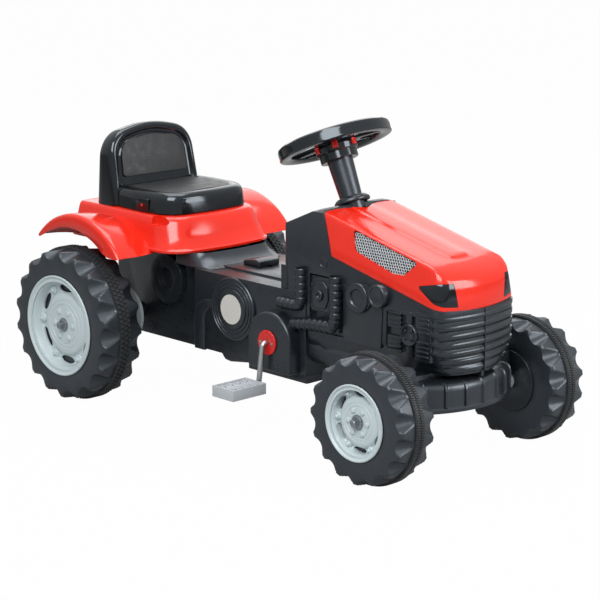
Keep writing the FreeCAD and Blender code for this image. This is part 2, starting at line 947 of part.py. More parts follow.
# rear chassis
def build_rear_chassis():
    body = doc.addObject("PartDesign::Body", "rear_chassis")
    top = S.base_top_z - S.wall
    spine = [
        (-S.tail, S.spine_floor),
        (S.keel_end, S.spine_floor),
        (S.keel_end + 2 * S.wall, S.floor_z + S.wall),
        (S.wide_start + S.wall, S.floor_z + S.wall),
        (S.wide_start + S.wall, S.deck_z),
        (S.pedestal_front, S.deck_z),
        (S.pedestal_front, S.base_low_z - 4 * S.wall),
        (S.base_low_front - 4 * S.wall, S.base_low_z - S.wall),
        (S.base_top_front - 4 * S.wall, top),
        (-S.tail, top),
    ]
    slab(body, "Pad", "XZ_Plane", spine, 2 * S.spine_half)
    wide = [
        (S.wide_start, S.floor_z),
        (S.wide_end, S.floor_z),
        (S.wide_end, S.deck_z),
        (S.wide_start, S.deck_z),
    ]
    slab(body, "Pad", "XZ_Plane", wide, 2 * S.deck_half)
    plate = [
        (S.deck_plate_start, S.deck_z - S.wall),
        (S.deck_plate_end, S.deck_z - S.wall),
        (S.deck_plate_end, S.deck_z + S.deck_plate_t),
        (S.deck_plate_start, S.deck_z + S.deck_plate_t),
    ]
    slab(body, "Pad", "XZ_Plane", plate, 2 * S.deck_plate_half)
    tongue = [
        (-S.tail - S.hitch_long, S.hitch_z),
        (S.wall - S.tail, S.hitch_z),
        (S.wall - S.tail, S.hitch_z + S.hitch_t),
        (-S.tail - S.hitch_long, S.hitch_z + S.hitch_t),
    ]
    slab(body, "Pad", "XZ_Plane", tongue, 2 * S.hitch_half)
    left = Vec(0, 1, 0)
    crank = Vec(S.crank_x, 0, S.crank_z)
    gear = Vec(S.gear_boss_x, 0, S.gear_boss_z)

    def cross_drum(kind, middle, radius, half):
        start = middle - left * half
        drum(body, kind, start, left, Radius=radius, Height=2 * half)

    for side in (1, -1):
        drum(
            body,
            "AdditiveCylinder",
            crank + left * (side * (S.deck_half - S.wall)),
            left * side,
            Radius=S.crank_boss_r,
            Height=S.crank_boss_half - S.deck_half + S.wall,
        )
        foot = feature(
            body,
            "AdditiveBox",
            Length=2 * S.crank_boss_r,
            Width=S.crank_boss_half - S.deck_half + S.wall,
            Height=S.crank_z - S.floor_z,
        )
        near = S.deck_half - S.wall if side > 0 else -S.crank_boss_half
        foot.Placement = Place(Vec(S.crank_x - S.crank_boss_r, near, S.floor_z), Turn())
    cross_drum("AdditiveCylinder", gear, S.gear_boss_r, S.gear_boss_half)
    spine_room = [
        (S.wall - S.tail, S.spine_floor + S.wall),
        (S.keel_end - S.wall, S.spine_floor + S.wall),
        (S.keel_end, S.floor_z + 2 * S.wall),
        (S.wide_start + 2 * S.wall, S.floor_z + 2 * S.wall),
        (S.wide_start + 2 * S.wall, S.deck_z - S.wall),
        (S.pedestal_front - S.wall, S.deck_z - S.wall),
        (S.pedestal_front - S.wall, S.base_low_z - 5 * S.wall),
        (S.base_low_front - 5 * S.wall, S.base_low_z - 2 * S.wall),
        (S.base_top_front - 5 * S.wall, top - S.wall),
        (S.wall - S.tail, top - S.wall),
    ]
    slab(body, "Pocket", "XZ_Plane", spine_room, 2 * (S.spine_half - S.wall))
    wide_room = [
        (S.wide_start + S.wall, S.floor_z + S.wall),
        (S.wide_end - S.wall, S.floor_z + S.wall),
        (S.wide_end - S.wall, S.deck_z - S.wall),
        (S.wide_start + S.wall, S.deck_z - S.wall),
    ]
    slab(body, "Pocket", "XZ_Plane", wide_room, 2 * (S.deck_half - S.wall))
    for side in (1, -1):
        drum(
            body,
            "SubtractiveCylinder",
            crank + left * (side * (S.deck_half - 2 * S.wall)),
            left * side,
            Radius=S.crank_boss_r - 2 * S.wall,
            Height=S.crank_boss_half - S.deck_half + S.wall,
        )
    cross_drum(
        "SubtractiveCylinder",
        gear,
        S.gear_boss_r - S.wall,
        S.gear_boss_half - S.gear_recess - S.wall,
    )
    cross_drum("SubtractiveCylinder", crank, S.crank_sleeve_r + S.seat_fit, S.crank_boss_half + S.wall)
    axle = Vec(0, 0, S.rear_tyre_r)
    cross_drum("SubtractiveCylinder", axle, S.axle_bush_r + S.seat_fit, S.spine_half + S.wall)
    for side in (1, -1):
        face = gear + left * (side * S.gear_boss_half)
        drum(
            body,
            "SubtractiveCylinder",
            face,
            left * -side,
            Radius=S.gear_recess_r,
            Height=S.gear_recess,
        )
    stem_half = S.stem_wide / 2 + S.move_gap
    slot = feature(
        body,
        "SubtractiveBox",
        Length=S.stem_long + S.knob_travel + 2 * S.move_gap,
        Width=2 * stem_half,
        Height=S.deck_plate_t + 2 * S.wall,
    )
    slot_x = S.knob_x - S.stem_long / 2 - S.move_gap
    slot.Placement = Place(Vec(slot_x, -stem_half, S.deck_z - S.wall), Turn())
    hole = Vec(-(S.tail + S.hitch_long - S.hitch_half), 0, (S.hitch_z - S.wall))
    drum(
        body,
        "SubtractiveCylinder",
        hole,
        Vec(0, 0, 1),
        Radius=S.hitch_pin_r,
        Height=S.hitch_t + 2 * S.wall,
    )
    finish(body)


def build_chassis_trim():
    guard = doc.addObject("Part::Cut", "chain_guard")
    shell = bind(
        doc.addObject("Part::Box", "guard_shell"),
        Length=S.guard_end - S.guard_start,
        Width=2 * S.guard_half,
        Height=S.floor_z - S.guard_z,
    )
    room = bind(
        doc.addObject("Part::Box", "guard_room"),
        Length=S.guard_end - S.guard_start - 2 * S.wall,
        Width=2 * (S.guard_half - S.wall),
        Height=S.floor_z - S.guard_z,
    )
    shell.Placement.Base = Vec(S.guard_start, -S.guard_half, S.guard_z)
    room.Placement.Base = shell.Placement.Base + Vec(1, 1, 1) * S.wall
    guard.Base = shell
    guard.Tool = room
    finish(guard)
    badges = []
    for name, side in SIDES:
        cover = turned(
            "side_cover_" + name,
            [
                (0, 0),
                (S.cover_r, 0),
                (S.cover_r, S.cover_t / 2),
                (S.cover_r - S.cover_t, S.cover_t),
                (S.cover_r - 2 * S.cover_t, S.cover_t),
                (S.cover_r - 2 * S.cover_t, S.cover_t / 2),
                (S.badge_r + S.cover_t, S.cover_t / 2),
                (S.badge_r + S.cover_t, S.cover_t),
                (0, S.cover_t),
            ],
        )
        place = on_axle(side, S.deck_half, S.cover_z, S.cover_x)
        finish(cover, place)
        disc = Part.makeCylinder(S.badge_r, S.badge_t, Vec(0, 0, S.cover_t))
        disc.Placement = place
        badges.append(disc)
    shaped("cover_badges", Part.makeCompound(badges))
    build_selector()


def build_selector():
    """A low block on the deck plate, with a stem that runs in the deck's slot."""
    rest = S.deck_z + S.deck_plate_t
    long = S.knob_long
    wide = S.knob_wide
    tall = S.knob_tall
    profile = [
        (-long / 2, 0),
        (long / 2, 0),
        (long / 2, tall * 0.75),
        (long / 4, tall),
        (-long / 2, tall * 0.6),
    ]
    block = prism(profile, "XZ", -wide / 2, wide / 2)
    stem_x = S.stem_long / 2
    stem_y = S.stem_wide / 2
    stem = box((-stem_x, -stem_y, -S.stem_deep), (stem_x, stem_y, 0))
    shaped("selector_knob", block.fuse(stem), Place(Vec(S.knob_x, 0, rest), Turn()))


# front body and hood
def dash_height(x):
    """The dash top's height: a plane square to the steering line."""
    return STEER_FOOT.z + (x - STEER_FOOT.x) * math.tan(TILT)


def seam_height(x):
    """The height of the seam between the hood and the front body."""
    run = (x - S.hood_foot_x) / (S.nose_x - S.hood_foot_x)
    return S.hood_foot_z + run * (S.hood_front_z - S.hood_foot_z)


def side_at(x):
    """Half the front body's width at a place along it."""
    run = (x - S.dash_x) / (S.nose_corner_x - S.dash_x)
    return S.body_half + run * (S.nose_half - S.body_half)


def nose_wire(grow, chin, z):
    """The front seen from above, with rounded corners: a margin larger, and drawn in at the chin."""
    rear = S.dash_x - grow
    corner = S.nose_corner_x + grow - chin / 6
    nose = S.nose_x + grow - chin / 16
    half = S.nose_half + grow - chin
    wide = S.body_half + grow
    edges = [
        Part.LineSegment(Vec(rear, wide, 0), Vec(rear, -wide, 0)).toShape(),
        Part.LineSegment(Vec(rear, -wide, 0), Vec(corner, -half, 0)).toShape(),
        Part.Arc(Vec(corner, -half, 0), Vec(nose, 0, 0), Vec(corner, half, 0)).toShape(),
        Part.LineSegment(Vec(corner, half, 0), Vec(rear, wide, 0)).toShape(),
    ]
    turn = S.nose_edge_r + grow
    wire = Part.Face(Part.Wire(edges)).makeOffset2D(-turn).makeOffset2D(turn).OuterWire
    wire.translate(Vec(0, 0, z))
    return wire


def nose_column(grow, low, high):
    """The front's plan as an upright solid."""
    return Part.Face(nose_wire(grow, 0, low)).extrude(Vec(0, 0, high - low))


def nose_form(grow, high):
    """The whole front: upright sides that draw in to a narrow chin below."""
    low = S.front_floor - S.wall
    chin = Part.makeLoft([nose_wire(grow, S.chin_in, low), nose_wire(grow, 0, S.chin_z)], True, True)
    return chin.fuse(nose_column(grow, S.chin_z, high)).removeSplitter()


def front_profile(inset):
    """The front body's side outline, drawn in by a wall."""
    beyond = S.nose_x + 2 * S.wall
    points = [
        (S.dash_x, S.deck_z),
        (S.dash_x, dash_height(S.dash_x)),
        (S.dash_edge_x, dash_height(S.dash_edge_x)),
        (S.hood_foot_x, S.hood_foot_z),
        (beyond, seam_height(beyond)),
        (beyond, S.front_floor),
        (S.front_floor_x, S.front_floor),
        (S.front_step_x, S.front_step_z),
        (S.front_step_x, S.deck_z),
    ]
    corners = [Vec(x, 0, z) for x, z in points]
    face = Part.Face(Part.makePolygon(corners + corners[:1]))
    if inset:
        face = face.makeOffset2D(-inset)
    span = 2 * S.body_half
    face.translate(Vec(0, -span, 0))
    return face.extrude(Vec(0, 2 * span, 0))


def cowl_trim(inset):
    """What is taken off beside the dash, so that its shoulders lean in as the hood's do."""
    beyond = 2 * S.body_half
    above = S.hood_top_z + S.body_half
    edge = [
        (S.body_half - inset, S.hood_foot_z),
        (S.hood_shoulder_half + S.wall - inset, S.hood_top_z - S.shoulder_fall),
        (S.hood_top_half - inset, S.hood_top_z),
        (0, S.hood_top_z + S.shoulder_fall),
        (0, above),
        (beyond, above),
        (beyond, S.hood_foot_z),
    ]
    start = S.dash_x - S.body_half
    sides = [prism([(side * y, z) for y, z in edge], "YZ", start, S.nose_x) for side in (1, -1)]
    return sides[0].fuse(sides[1])


def bay(outline, depth, side):
    """A shallow bay in one side of the front body, as the solid that is taken out."""
    middle = sum([x for x, z in outline]) / len(outline)
    face = side_at(middle)
    return prism(outline, "XZ", side * (face - depth), side * 2 * S.body_half)


def grown(outline, margin):
    """An outline pushed out from its middle by a margin along each axis."""
    middle_x = sum([x for x, z in outline]) / len(outline)
    middle_z = sum([z for x, z in outline]) / len(outline)
    return [
        (x + math.copysign(margin, x - middle_x), z + math.copysign(margin, z - middle_z))
        for x, z in outline
    ]


def engine_bays():
    """The two bays' outlines: one round the engine cover and hose, one round the alternator."""
    left = S.front_step_x + 2 * S.wall
    right = S.hose_x + 2 * S.hose_r
    low = S.hose_z - 2 * S.hose_r
    top = S.engine_z + S.engine_tall / 2 + S.wall
    cut = 3 * S.hose_r
    cover = [(left, low), (right, low), (right, top - cut), (right - cut, top), (left, top)]
    half = S.alternator_long / 2
    tall = S.alternator_tall / 2
    alternator = [
        (S.alternator_x - half, S.alternator_z - tall),
        (S.alternator_x + half, S.alternator_z - tall),
        (S.alternator_x + half, S.alternator_z + tall),
        (S.alternator_x - half, S.alternator_z + tall),
    ]
    return [(cover, S.engine_bay), (alternator, S.alternator_bay)]


def engine_relief(side):
    """Moulded engine details on one side: cover with its bolt, hose, pulleys, alternator and gear cone."""
    root = 3 * S.wall

    def stud(x, z, radius, out):
        start = Vec(x, side * (side_at(x) - root), z)
        return rod(radius, start, start + Vec(0, side * (root + out), 0))

    def block(x, z, long, tall, out):
        points = [(x - long, z - tall), (x + long, z - tall), (x + long, z + tall), (x - long, z + tall)]
        return prism(points, "XZ", side * (side_at(x) - root), side * (side_at(x) + out))

    hose_y = side * (side_at(S.hose_x) - S.engine_bay + S.hose_r / 2)
    hose_top = Vec(S.hose_x, hose_y, S.engine_z + S.engine_tall / 2)
    hose_knee = Vec(S.hose_x, hose_y, S.hose_z)
    hose_end = Vec(S.front_step_x + 2 * S.wall, hose_y, S.hose_z)
    pulley = S.pulley_r
    idler = S.idler_r
    fin_long = S.alternator_long / 7
    fin_tall = S.alternator_tall / 6
    details = [
        block(S.engine_x, S.engine_z, S.engine_long / 2, S.engine_tall / 2, -S.wall / 2),
        stud(S.engine_x, S.engine_z, S.engine_bolt_r, S.wall / 2),
        rod(S.hose_r, hose_top, hose_knee - Vec(0, 0, S.hose_r)),
        rod(S.hose_r, hose_knee, hose_end),
        stud(S.pulley_x, S.pulley_z, pulley, S.pulley_t),
        stud(S.pulley_x + pulley + idler, S.pulley_z + idler / 2, idler, S.pulley_t + S.wall),
        stud(S.alternator_x, S.alternator_z, idler, 0),
    ]
    for along in (-1, 1):
        for up in (-1, 1):
            x = S.alternator_x + along * S.alternator_long * 0.33
            details.append(block(x, S.alternator_z + up * S.alternator_tall * 0.28, fin_long, fin_tall, 0))
    cone_at = Vec(S.front_step_x + S.wall, side * (S.body_half - S.cone_big_r), S.front_step_z)
    details.append(Part.makeCone(S.cone_big_r, S.cone_small_r, S.cone_long, cone_at, Vec(1, 0, 0)))
    return details


def build_front_body():
    high = S.hood_top_z + S.body_half
    wall = S.wall
    shell = front_profile(0).common(nose_form(0, high)).cut(cowl_trim(0))
    room = front_profile(wall).common(nose_form(-wall, high)).cut(cowl_trim(wall))
    details = []
    for side in (1, -1):
        for outline, depth in engine_bays():
            shell = shell.cut(bay(outline, depth, side))
            room = room.cut(bay(grown(outline, wall), depth + wall, side))
        details += engine_relief(side)
    ridged = nose_form(S.grille_rib_out, high)
    count = int(S.grille_ribs)
    top = seam_height(S.nose_x) - S.grille_rib_tall
    step = (top - S.grille_low) / (count - 1)
    beyond = S.nose_x + S.body_half
    for number in range(count):
        z = S.grille_low + number * step
        band = box((S.grille_start, -S.body_half, z), (beyond, S.body_half, z + S.grille_rib_tall))
        details.append(ridged.common(band))
    shape = shell.multiFuse(details).cut(room)
    sink = 4 * S.collar_t
    column = rod(S.column_low_r + S.move_gap, STEER_FOOT - STEER_UP * sink, STEER_FOOT + STEER_UP * sink)
    bearing_at = steer_at(S.front_floor)
    reach = STEER_UP * S.bearing_long
    bearing = rod(S.bearing_r + S.seat_fit, bearing_at - reach, bearing_at + reach * 1.4)
    shape = shape.cut(column).cut(bearing)
    shaped("front_body", shape.removeSplitter())


def hood_section(x, top, inset, drop):
    """One cross-section of the hood as a closed wire."""
    low = seam_height(x) - drop
    peak = top - inset
    half = [
        (S.hood_low_half - inset, low),
        (S.hood_shoulder_half - inset, peak - S.shoulder_fall),
        (S.hood_top_half - inset, peak - S.shoulder_fall / 5),
        (S.hood_panel_half + S.hood_panel_rise - inset, peak),
        (S.hood_panel_half - inset, peak + S.hood_panel_rise),
    ]
    points = [Vec(x, y, z) for y, z in half] + [Vec(x, -y, z) for y, z in reversed(half)]
    return Part.makePolygon(points + points[:1])


def hood_solid(inset):
    """The hood's outer or inner form: a falling top that rounds over into the nose."""
    nose = S.nose_x
    turn = S.hood_round
    drop = turn / 2 if inset else 0
    rear = S.dash_edge_x - turn
    places = [
        (rear, 0.0),
        (nose - turn, 0.0),
        (nose - turn * 0.45, turn * 0.11),
        (nose - turn * 0.15, turn * 0.35),
        (nose + turn / 8, turn * 0.87),
    ]
    wires = []
    for x, sink in places:
        top = S.hood_top_z - S.hood_slope * (x - S.dash_edge_x) - sink
        wires.append(hood_section(x - (inset if x > nose else 0), top, inset, drop))
    solid = Part.makeLoft(wires, True, True)
    return solid.common(nose_column(-inset, S.front_floor, S.hood_top_z + S.body_half))


def build_hood():
    edge_x = S.dash_edge_x
    foot = (S.hood_foot_x, S.hood_foot_z)
    edge = (edge_x, dash_height(edge_x))
    reach = 2 * S.body_half
    behind = prism(
        [
            (S.dash_x, S.front_floor),
            (foot[0], S.front_floor),
            foot,
            edge,
            (edge_x + S.body_half / 2, edge[1] + S.body_half),
            (S.dash_x, edge[1] + S.body_half),
        ],
        "XZ",
        -reach,
        reach,
    )
    collar = rod(S.collar_r + S.move_gap, STEER_FOOT - STEER_UP * reach, STEER_FOOT + STEER_UP * reach)
    shell = hood_solid(0).cut(hood_solid(S.hood_wall)).cut(behind).cut(collar)
    ahead = S.nose_x + S.hood_round
    lamp_tall = S.lamp_top - S.lamp_low
    corner = S.lamp_start + S.lamp_side
    lamp = [
        (S.lamp_start, S.lamp_top - lamp_tall / 5),
        (corner, S.lamp_top),
        (ahead, S.lamp_top),
        (ahead, S.lamp_low - lamp_tall / 4),
        (S.nose_x - S.hood_wall, S.lamp_low - lamp_tall / 4),
        (corner, S.lamp_low),
    ]
    mesh_x = S.hood_foot_x + S.mesh_gap
    mesh_top = S.hood_top_z - S.hood_slope * (mesh_x - S.dash_edge_x) - S.shoulder_fall
    mesh = [
        (mesh_x, mesh_top),
        (mesh_x + S.mesh_long, mesh_top - S.hood_slope * S.mesh_long),
        (mesh_x + S.mesh_long * 0.82, mesh_top - S.hood_slope * S.mesh_long - S.mesh_tall / 2),
        (mesh_x + S.mesh_long / 10, mesh_top - S.mesh_tall),
    ]
    for name, side in SIDES:
        lamp_room = prism(lamp, "XZ", side * S.lamp_inner, side * reach)
        mesh_room = prism(mesh, "XZ", side * S.hood_panel_half * 2, side * reach)
        shaped("headlight_" + name, shell.common(lamp_room))
        shaped("hood_grille_" + name, shell.common(mesh_room))
        shell = shell.cut(lamp_room).cut(mesh_room)
    shaped("hood", shell)


# steering
def build_steering():
    rise = S.wheel_rise
    column = turned(
        "steering_column",
        [
            (S.rod_r + S.seat_fit, -S.column_sink),
            (S.column_low_r, -S.column_sink),
            (S.column_low_r, S.collar_t + S.move_gap),
            (S.column_top_r, S.wheel_rise - S.hub_low),
            (S.column_top_r, S.wheel_rise - S.hub_low + S.socket_long - S.seat_fit),
            (S.rod_r + S.seat_fit, S.wheel_rise - S.hub_low + S.socket_long - S.seat_fit),
        ],
    )
    finish(column, on_column(0))
    collar = turned(
        "steering_collar",
        [
            (S.column_low_r + S.run_fit, 0),
            (S.collar_r, 0),
            (S.collar_r, S.collar_t / 2),
            (S.column_low_r + S.collar_t / 2, S.collar_t),
            (S.column_low_r + S.run_fit, S.collar_t),
        ],
    )
    finish(collar, on_column(0))
    build_steering_wheel(rise)
    top = STEER_FOOT + STEER_UP * (S.wheel_rise + S.hub_top - S.horn_t - S.move_gap)
    bend = steer_at(S.rod_low_z)
    knee = bend - STEER_UP * (S.bearing_long / 2)
    pin = knee + STEER_BACK * S.steer_throw
    foot = pin - STEER_UP * S.rod_pin_long
    shaped("steering_rod", bent_bar(S.rod_r, [top, knee, pin, foot], S.rod_bend_r))
    bearing = turned(
        "steering_bearing",
        [
            (S.rod_r + S.run_fit, 0),
            (S.bearing_r, 0),
            (S.bearing_r, S.bearing_long),
            (S.rod_r + S.run_fit, S.bearing_long),
        ],
    )
    finish(bearing, Place(bend, on_column(0).Rotation))
    panel = bind(
        doc.addObject("Part::Box", "dash_panel"),
        Length=S.panel_long,
        Width=2 * S.panel_half,
        Height=S.panel_t,
    )
    start = STEER_FOOT + STEER_BACK * (S.collar_r + S.panel_long + S.move_gap)
    finish(panel, Place(start - Vec(0, S.panel_half, 0), on_column(0).Rotation))


def build_steering_wheel(rise):
    """A ring and a socketed hub, joined by three spokes; local Z runs up the column."""
    ring = turned(
        "wheel_ring",
        [
            (S.wheel_r - S.wheel_grip, -S.wheel_tall / 4),
            (S.wheel_r - S.wheel_grip / 2, -S.wheel_tall / 2),
            (S.wheel_r, -S.wheel_tall / 3),
            (S.wheel_r, S.wheel_tall / 4),
            (S.wheel_r - S.wheel_grip / 3, S.wheel_tall / 2),
            (S.wheel_r - S.wheel_grip, S.wheel_tall / 4),
        ],
    )
    hub = turned(
        "wheel_hub",
        [
            (S.rod_r + S.seat_fit, S.socket_long - S.hub_low),
            (S.column_top_r + S.seat_fit, S.socket_long - S.hub_low),
            (S.column_top_r + S.seat_fit, -S.hub_low),
            (S.hub_r, -S.hub_low),
            (S.hub_r, S.hub_top),
            (S.horn_r + S.move_gap, S.hub_top),
            (S.horn_r + S.move_gap, S.hub_top - S.horn_t - S.move_gap),
            (S.rod_r + S.seat_fit, S.hub_top - S.horn_t - S.move_gap),
        ],
    )
    spokes = []
    for number, angle in enumerate((90, 210, 330)):
        spoke = bind(
            doc.addObject("Part::Box", "wheel_spoke_%d" % (number + 1)),
            Length=S.wheel_r - S.hub_r - S.wheel_grip / 2 + S.move_gap,
            Width=S.spoke_w,
            Height=S.spoke_t,
        )
        turn = Turn(Vec(0, 0, 1), angle + 90)
        start = Vec((S.hub_r - S.move_gap), -S.spoke_w / 2, -S.spoke_t * 0.7)
        spoke.Placement = Place(turn.multVec(start), turn)
        spokes.append(spoke)
    wheel = doc.addObject("Part::MultiFuse", "steering_wheel")
    wheel.Shapes = [ring, hub] + spokes
    finish(wheel, on_column(rise))
    horn = turned(
        "horn_button",
        [
            (0, S.hub_top - S.horn_t + S.horn_travel),
            (S.horn_r, S.hub_top - S.horn_t + S.horn_travel),
            (S.horn_r, S.hub_top + S.horn_travel / 2),
            (S.horn_r * 0.6, S.hub_top + S.horn_travel),
            (0, S.hub_top + S.horn_travel),
        ],
    )
    finish(horn, on_column(rise))


# front axle
def build_front_axle():
    axle_x = S.wheelbase
    king_y = S.kingpin_y
    top = S.front_floor
    low = S.beam_low
    reach = S.beam_r
    centre = Vec(S.beam_front - reach, 0, 0)
    thick = S.beam_t
    plate = S.beam_plate_t
    out = S.beam_rib_out
    end_y = S.beam_end_y

    def ring(outer, inner, z, tall):
        band = Part.makeCylinder(outer, tall, Vec(centre.x, 0, z))
        if inner:
            band = band.cut(Part.makeCylinder(inner, tall, Vec(centre.x, 0, z)))
        return band

    front = box((axle_x - S.cross_half, -end_y, 0), (axle_x + reach, end_y, top))
    wall = ring(reach, reach - thick, low, S.beam_top - low).common(front)
    lip = ring(reach + out, reach - thick, low, plate).common(front)
    lid = ring(reach, 0, S.beam_top - plate, plate).common(front)
    cross = box(
        (axle_x - S.cross_half, -king_y, S.cross_low), (axle_x + S.cross_half, king_y, top)
    )
    cross_wall = S.wall
    room = box(
        (axle_x - S.cross_half + cross_wall, 1.5 * S.kingpin_boss_r - king_y, S.cross_low - cross_wall),
        (axle_x + S.cross_half - cross_wall, king_y - 1.5 * S.kingpin_boss_r, S.beam_top - plate),
    )
    bosses = [
        Part.makeCylinder(
            S.kingpin_boss_r, top - S.cross_low, Vec(axle_x, side * king_y, S.cross_low)
        )
        for side in (1, -1)
    ]
    count = int(S.beam_ribs)
    spread = math.asin(end_y / reach) * 0.94
    ribs = []
    for number in range(count):
        angle = spread * (2 * number / (count - 1) - 1)
        rib = box(
            (reach - thick / 2, -S.beam_rib_w / 2, low),
            (reach + out, S.beam_rib_w / 2, S.beam_top - plate / 2),
        )
        rib.rotate(Vec(), Vec(0, 0, 1), math.degrees(angle))
        rib.translate(Vec(centre.x, 0, 0))
        ribs.append(rib)
    shape = wall.multiFuse([lip, lid, cross] + bosses + ribs).cut(room)
    for side in (1, -1):
        shape = shape.cut(
            Part.makeCylinder(S.kingpin_bush_r + S.seat_fit, 2 * top, Vec(axle_x, side * king_y, 0))
        )
    shaped("front_axle_beam", shape.removeSplitter())
    for name, side in SIDES:
        bush = turned(
            "kingpin_bush_" + name,
            [
                (S.kingpin_r + S.run_fit, S.cross_low - S.wall),
                (S.kingpin_boss_r, S.cross_low - S.wall),
                (S.kingpin_boss_r, S.cross_low),
                (S.kingpin_bush_r, S.cross_low),
                (S.kingpin_bush_r, S.front_floor),
                (S.kingpin_r + S.run_fit, S.front_floor),
            ],
        )
        finish(bush, Place(Vec(axle_x, side * king_y, 0), Turn()))
        build_knuckle(name, side, axle_x, king_y)
    build_tie_rod(axle_x, king_y)


def build_knuckle(name, side, axle_x, king_y):
    """A welded steel knuckle: kingpin, wheel spindle, and an arm with the tie rod's pin."""
    axle_z = S.front_tyre_r
    king = Vec(axle_x, side * king_y, 0)
    up = Vec(0, 0, 1)
    out = Vec(0, side, 0)
    arm_low = S.arm_low
    arm_top = arm_low + S.arm_t
    eye = king - Vec(S.steer_throw, 0, 0)
    spindle_end = S.front_track_half + S.axle_end + hub_height("front") - king_y
    pin = rod(S.kingpin_r, king + up * axle_z, king + up * (S.front_floor + S.axle_end))
    rest = S.cross_low - S.wall - S.run_fit
    shoulder = rod(S.knuckle_r, king + up * (axle_z - S.knuckle_r), king + up * rest)
    spindle = rod(S.axle_r, king + up * axle_z, king + up * axle_z + out * spindle_end)
    arm = box(
        (eye.x, king.y - S.arm_half, arm_low), (king.x, king.y + S.arm_half, arm_top)
    )
    eye_disc = rod(S.arm_half, eye + up * arm_low, eye + up * arm_top)
    tie_pin = rod(S.tie_pin_r, eye + up * arm_low, eye + up * (arm_top + (S.tie_t + S.move_gap + S.wall)))
    hub_face = S.front_track_half - S.front_tyre_w / 2 - S.front_hub_tail - S.move_gap - king_y
    spacer = rod(S.arm_half, king + up * axle_z, king + up * axle_z + out * hub_face)
    pieces = [shoulder, spindle, spacer, arm, eye_disc, tie_pin]
    shaped("knuckle_" + name, pin.multiFuse(pieces).removeSplitter())


def build_tie_rod(axle_x, king_y):
    """A flat bar that dips back to the steering rod's pin between the two knuckle arms."""
    low = S.arm_low + S.arm_t + S.move_gap
    thick = S.tie_t
    half = S.arm_half
    level = low + thick / 2
    bend = steer_at(S.rod_low_z) - STEER_UP * (S.bearing_long / 2)
    pin = bend + STEER_BACK * S.steer_throw
    pin_x = pin.x + (pin.z - level) * math.tan(TILT)
    eye_x = axle_x - S.steer_throw
    path = [
        Vec(eye_x, -king_y, low),
        Vec(eye_x - 20, -king_y * 0.55, low),
        Vec(pin_x, -king_y * 0.25, low),
        Vec(pin_x, king_y * 0.25, low),
        Vec(eye_x - 20, king_y * 0.55, low),
        Vec(eye_x, king_y, low),
    ]
    up = Vec(0, 0, thick)
    pieces = [rod(half, spot, spot + up) for spot in path]
    for start, end in zip(path, path[1:]):
        bar = box((0, -half, 0), ((end - start).Length, half, thick))
        bar.Placement = Place(start, Turn(Vec(1, 0, 0), end - start))
        pieces.append(bar)
    shape = pieces[0].multiFuse(pieces[1:]).removeSplitter()
    for spot in (path[0], path[-1]):
        shape = shape.cut(rod(S.tie_pin_r + S.run_fit, spot - up, spot + up * 2))
    slot_half = S.rod_r / math.cos(TILT) + thick / 2 * math.tan(TILT) + 4 * S.move_gap
    side = S.rod_r + S.move_gap
    slot = box((pin_x - slot_half, -side, low - 1), (pin_x + slot_half, side, low + thick + 1))
    shaped("tie_rod", shape.cut(slot))


# seat and seat base
def plan_loft(levels):
    """A straight-sided loft through rounded plan outlines, each (z, rear, front, half, corner)."""
    wires = []
    for z, rear, front, half, corner in levels:
        wire = rounded_plan(rear, front, half, corner)
        wire.translate(Vec(0, 0, z))
        wires.append(wire)
    return Part.makeLoft(wires, True, True)


def fender_arch(side, radius, thick, start_y, end_y):
    """A slice of a fender: an arched strip between two distances from the middle."""
    angles = [math.radians(S.fender_rear_angle), math.radians(S.fender_front_angle)]
    angles.insert(1, sum(angles) / 2)
    middle = Vec(S.fender_x, side * start_y, S.fender_z)
    ways = [Vec(math.cos(a), 0, math.sin(a)) for a in angles]
    outer = [middle + way * radius for way in ways]
    inner = [middle + way * (radius - thick) for way in ways]
    edges = [
        Part.Arc(*outer).toShape(),
        Part.LineSegment(outer[2], inner[2]).toShape(),
        Part.Arc(inner[2], inner[1], inner[0]).toShape(),
        Part.LineSegment(inner[0], outer[0]).toShape(),
    ]
    return Part.Face(Part.Wire(edges)).extrude(Vec(0, side * (end_y - start_y), 0))


def build_seat_base():
    wall = S.wall
    corner = S.base_corner_r
    rear = S.base_rear_x
    low = (S.base_low_z, rear, S.base_low_front, S.base_low_half, corner)
    top = (S.base_top_z, rear, S.base_top_front, S.base_top_half, corner)
    shape = plan_loft([low, top])
    outer_y = S.fender_outer_y
    thick = S.fender_t
    for side in (1, -1):
        arch = fender_arch(side, S.fender_r, thick, S.base_top_half - 2 * wall, outer_y)
        skirt = fender_arch(side, S.fender_r, S.fender_skirt, outer_y - thick, outer_y)
        shape = shape.multiFuse([arch, skirt])
    inside_top = S.base_top_z - S.wall
    room_low = (low[0] - wall, rear + wall, low[2] - wall, low[3] - wall, corner)
    room_top = (inside_top, rear + wall, top[2] - wall, top[3] - wall, corner)
    shape = shape.cut(plan_loft([room_low, room_top]))
    shaped("seat_base", shape.removeSplitter())


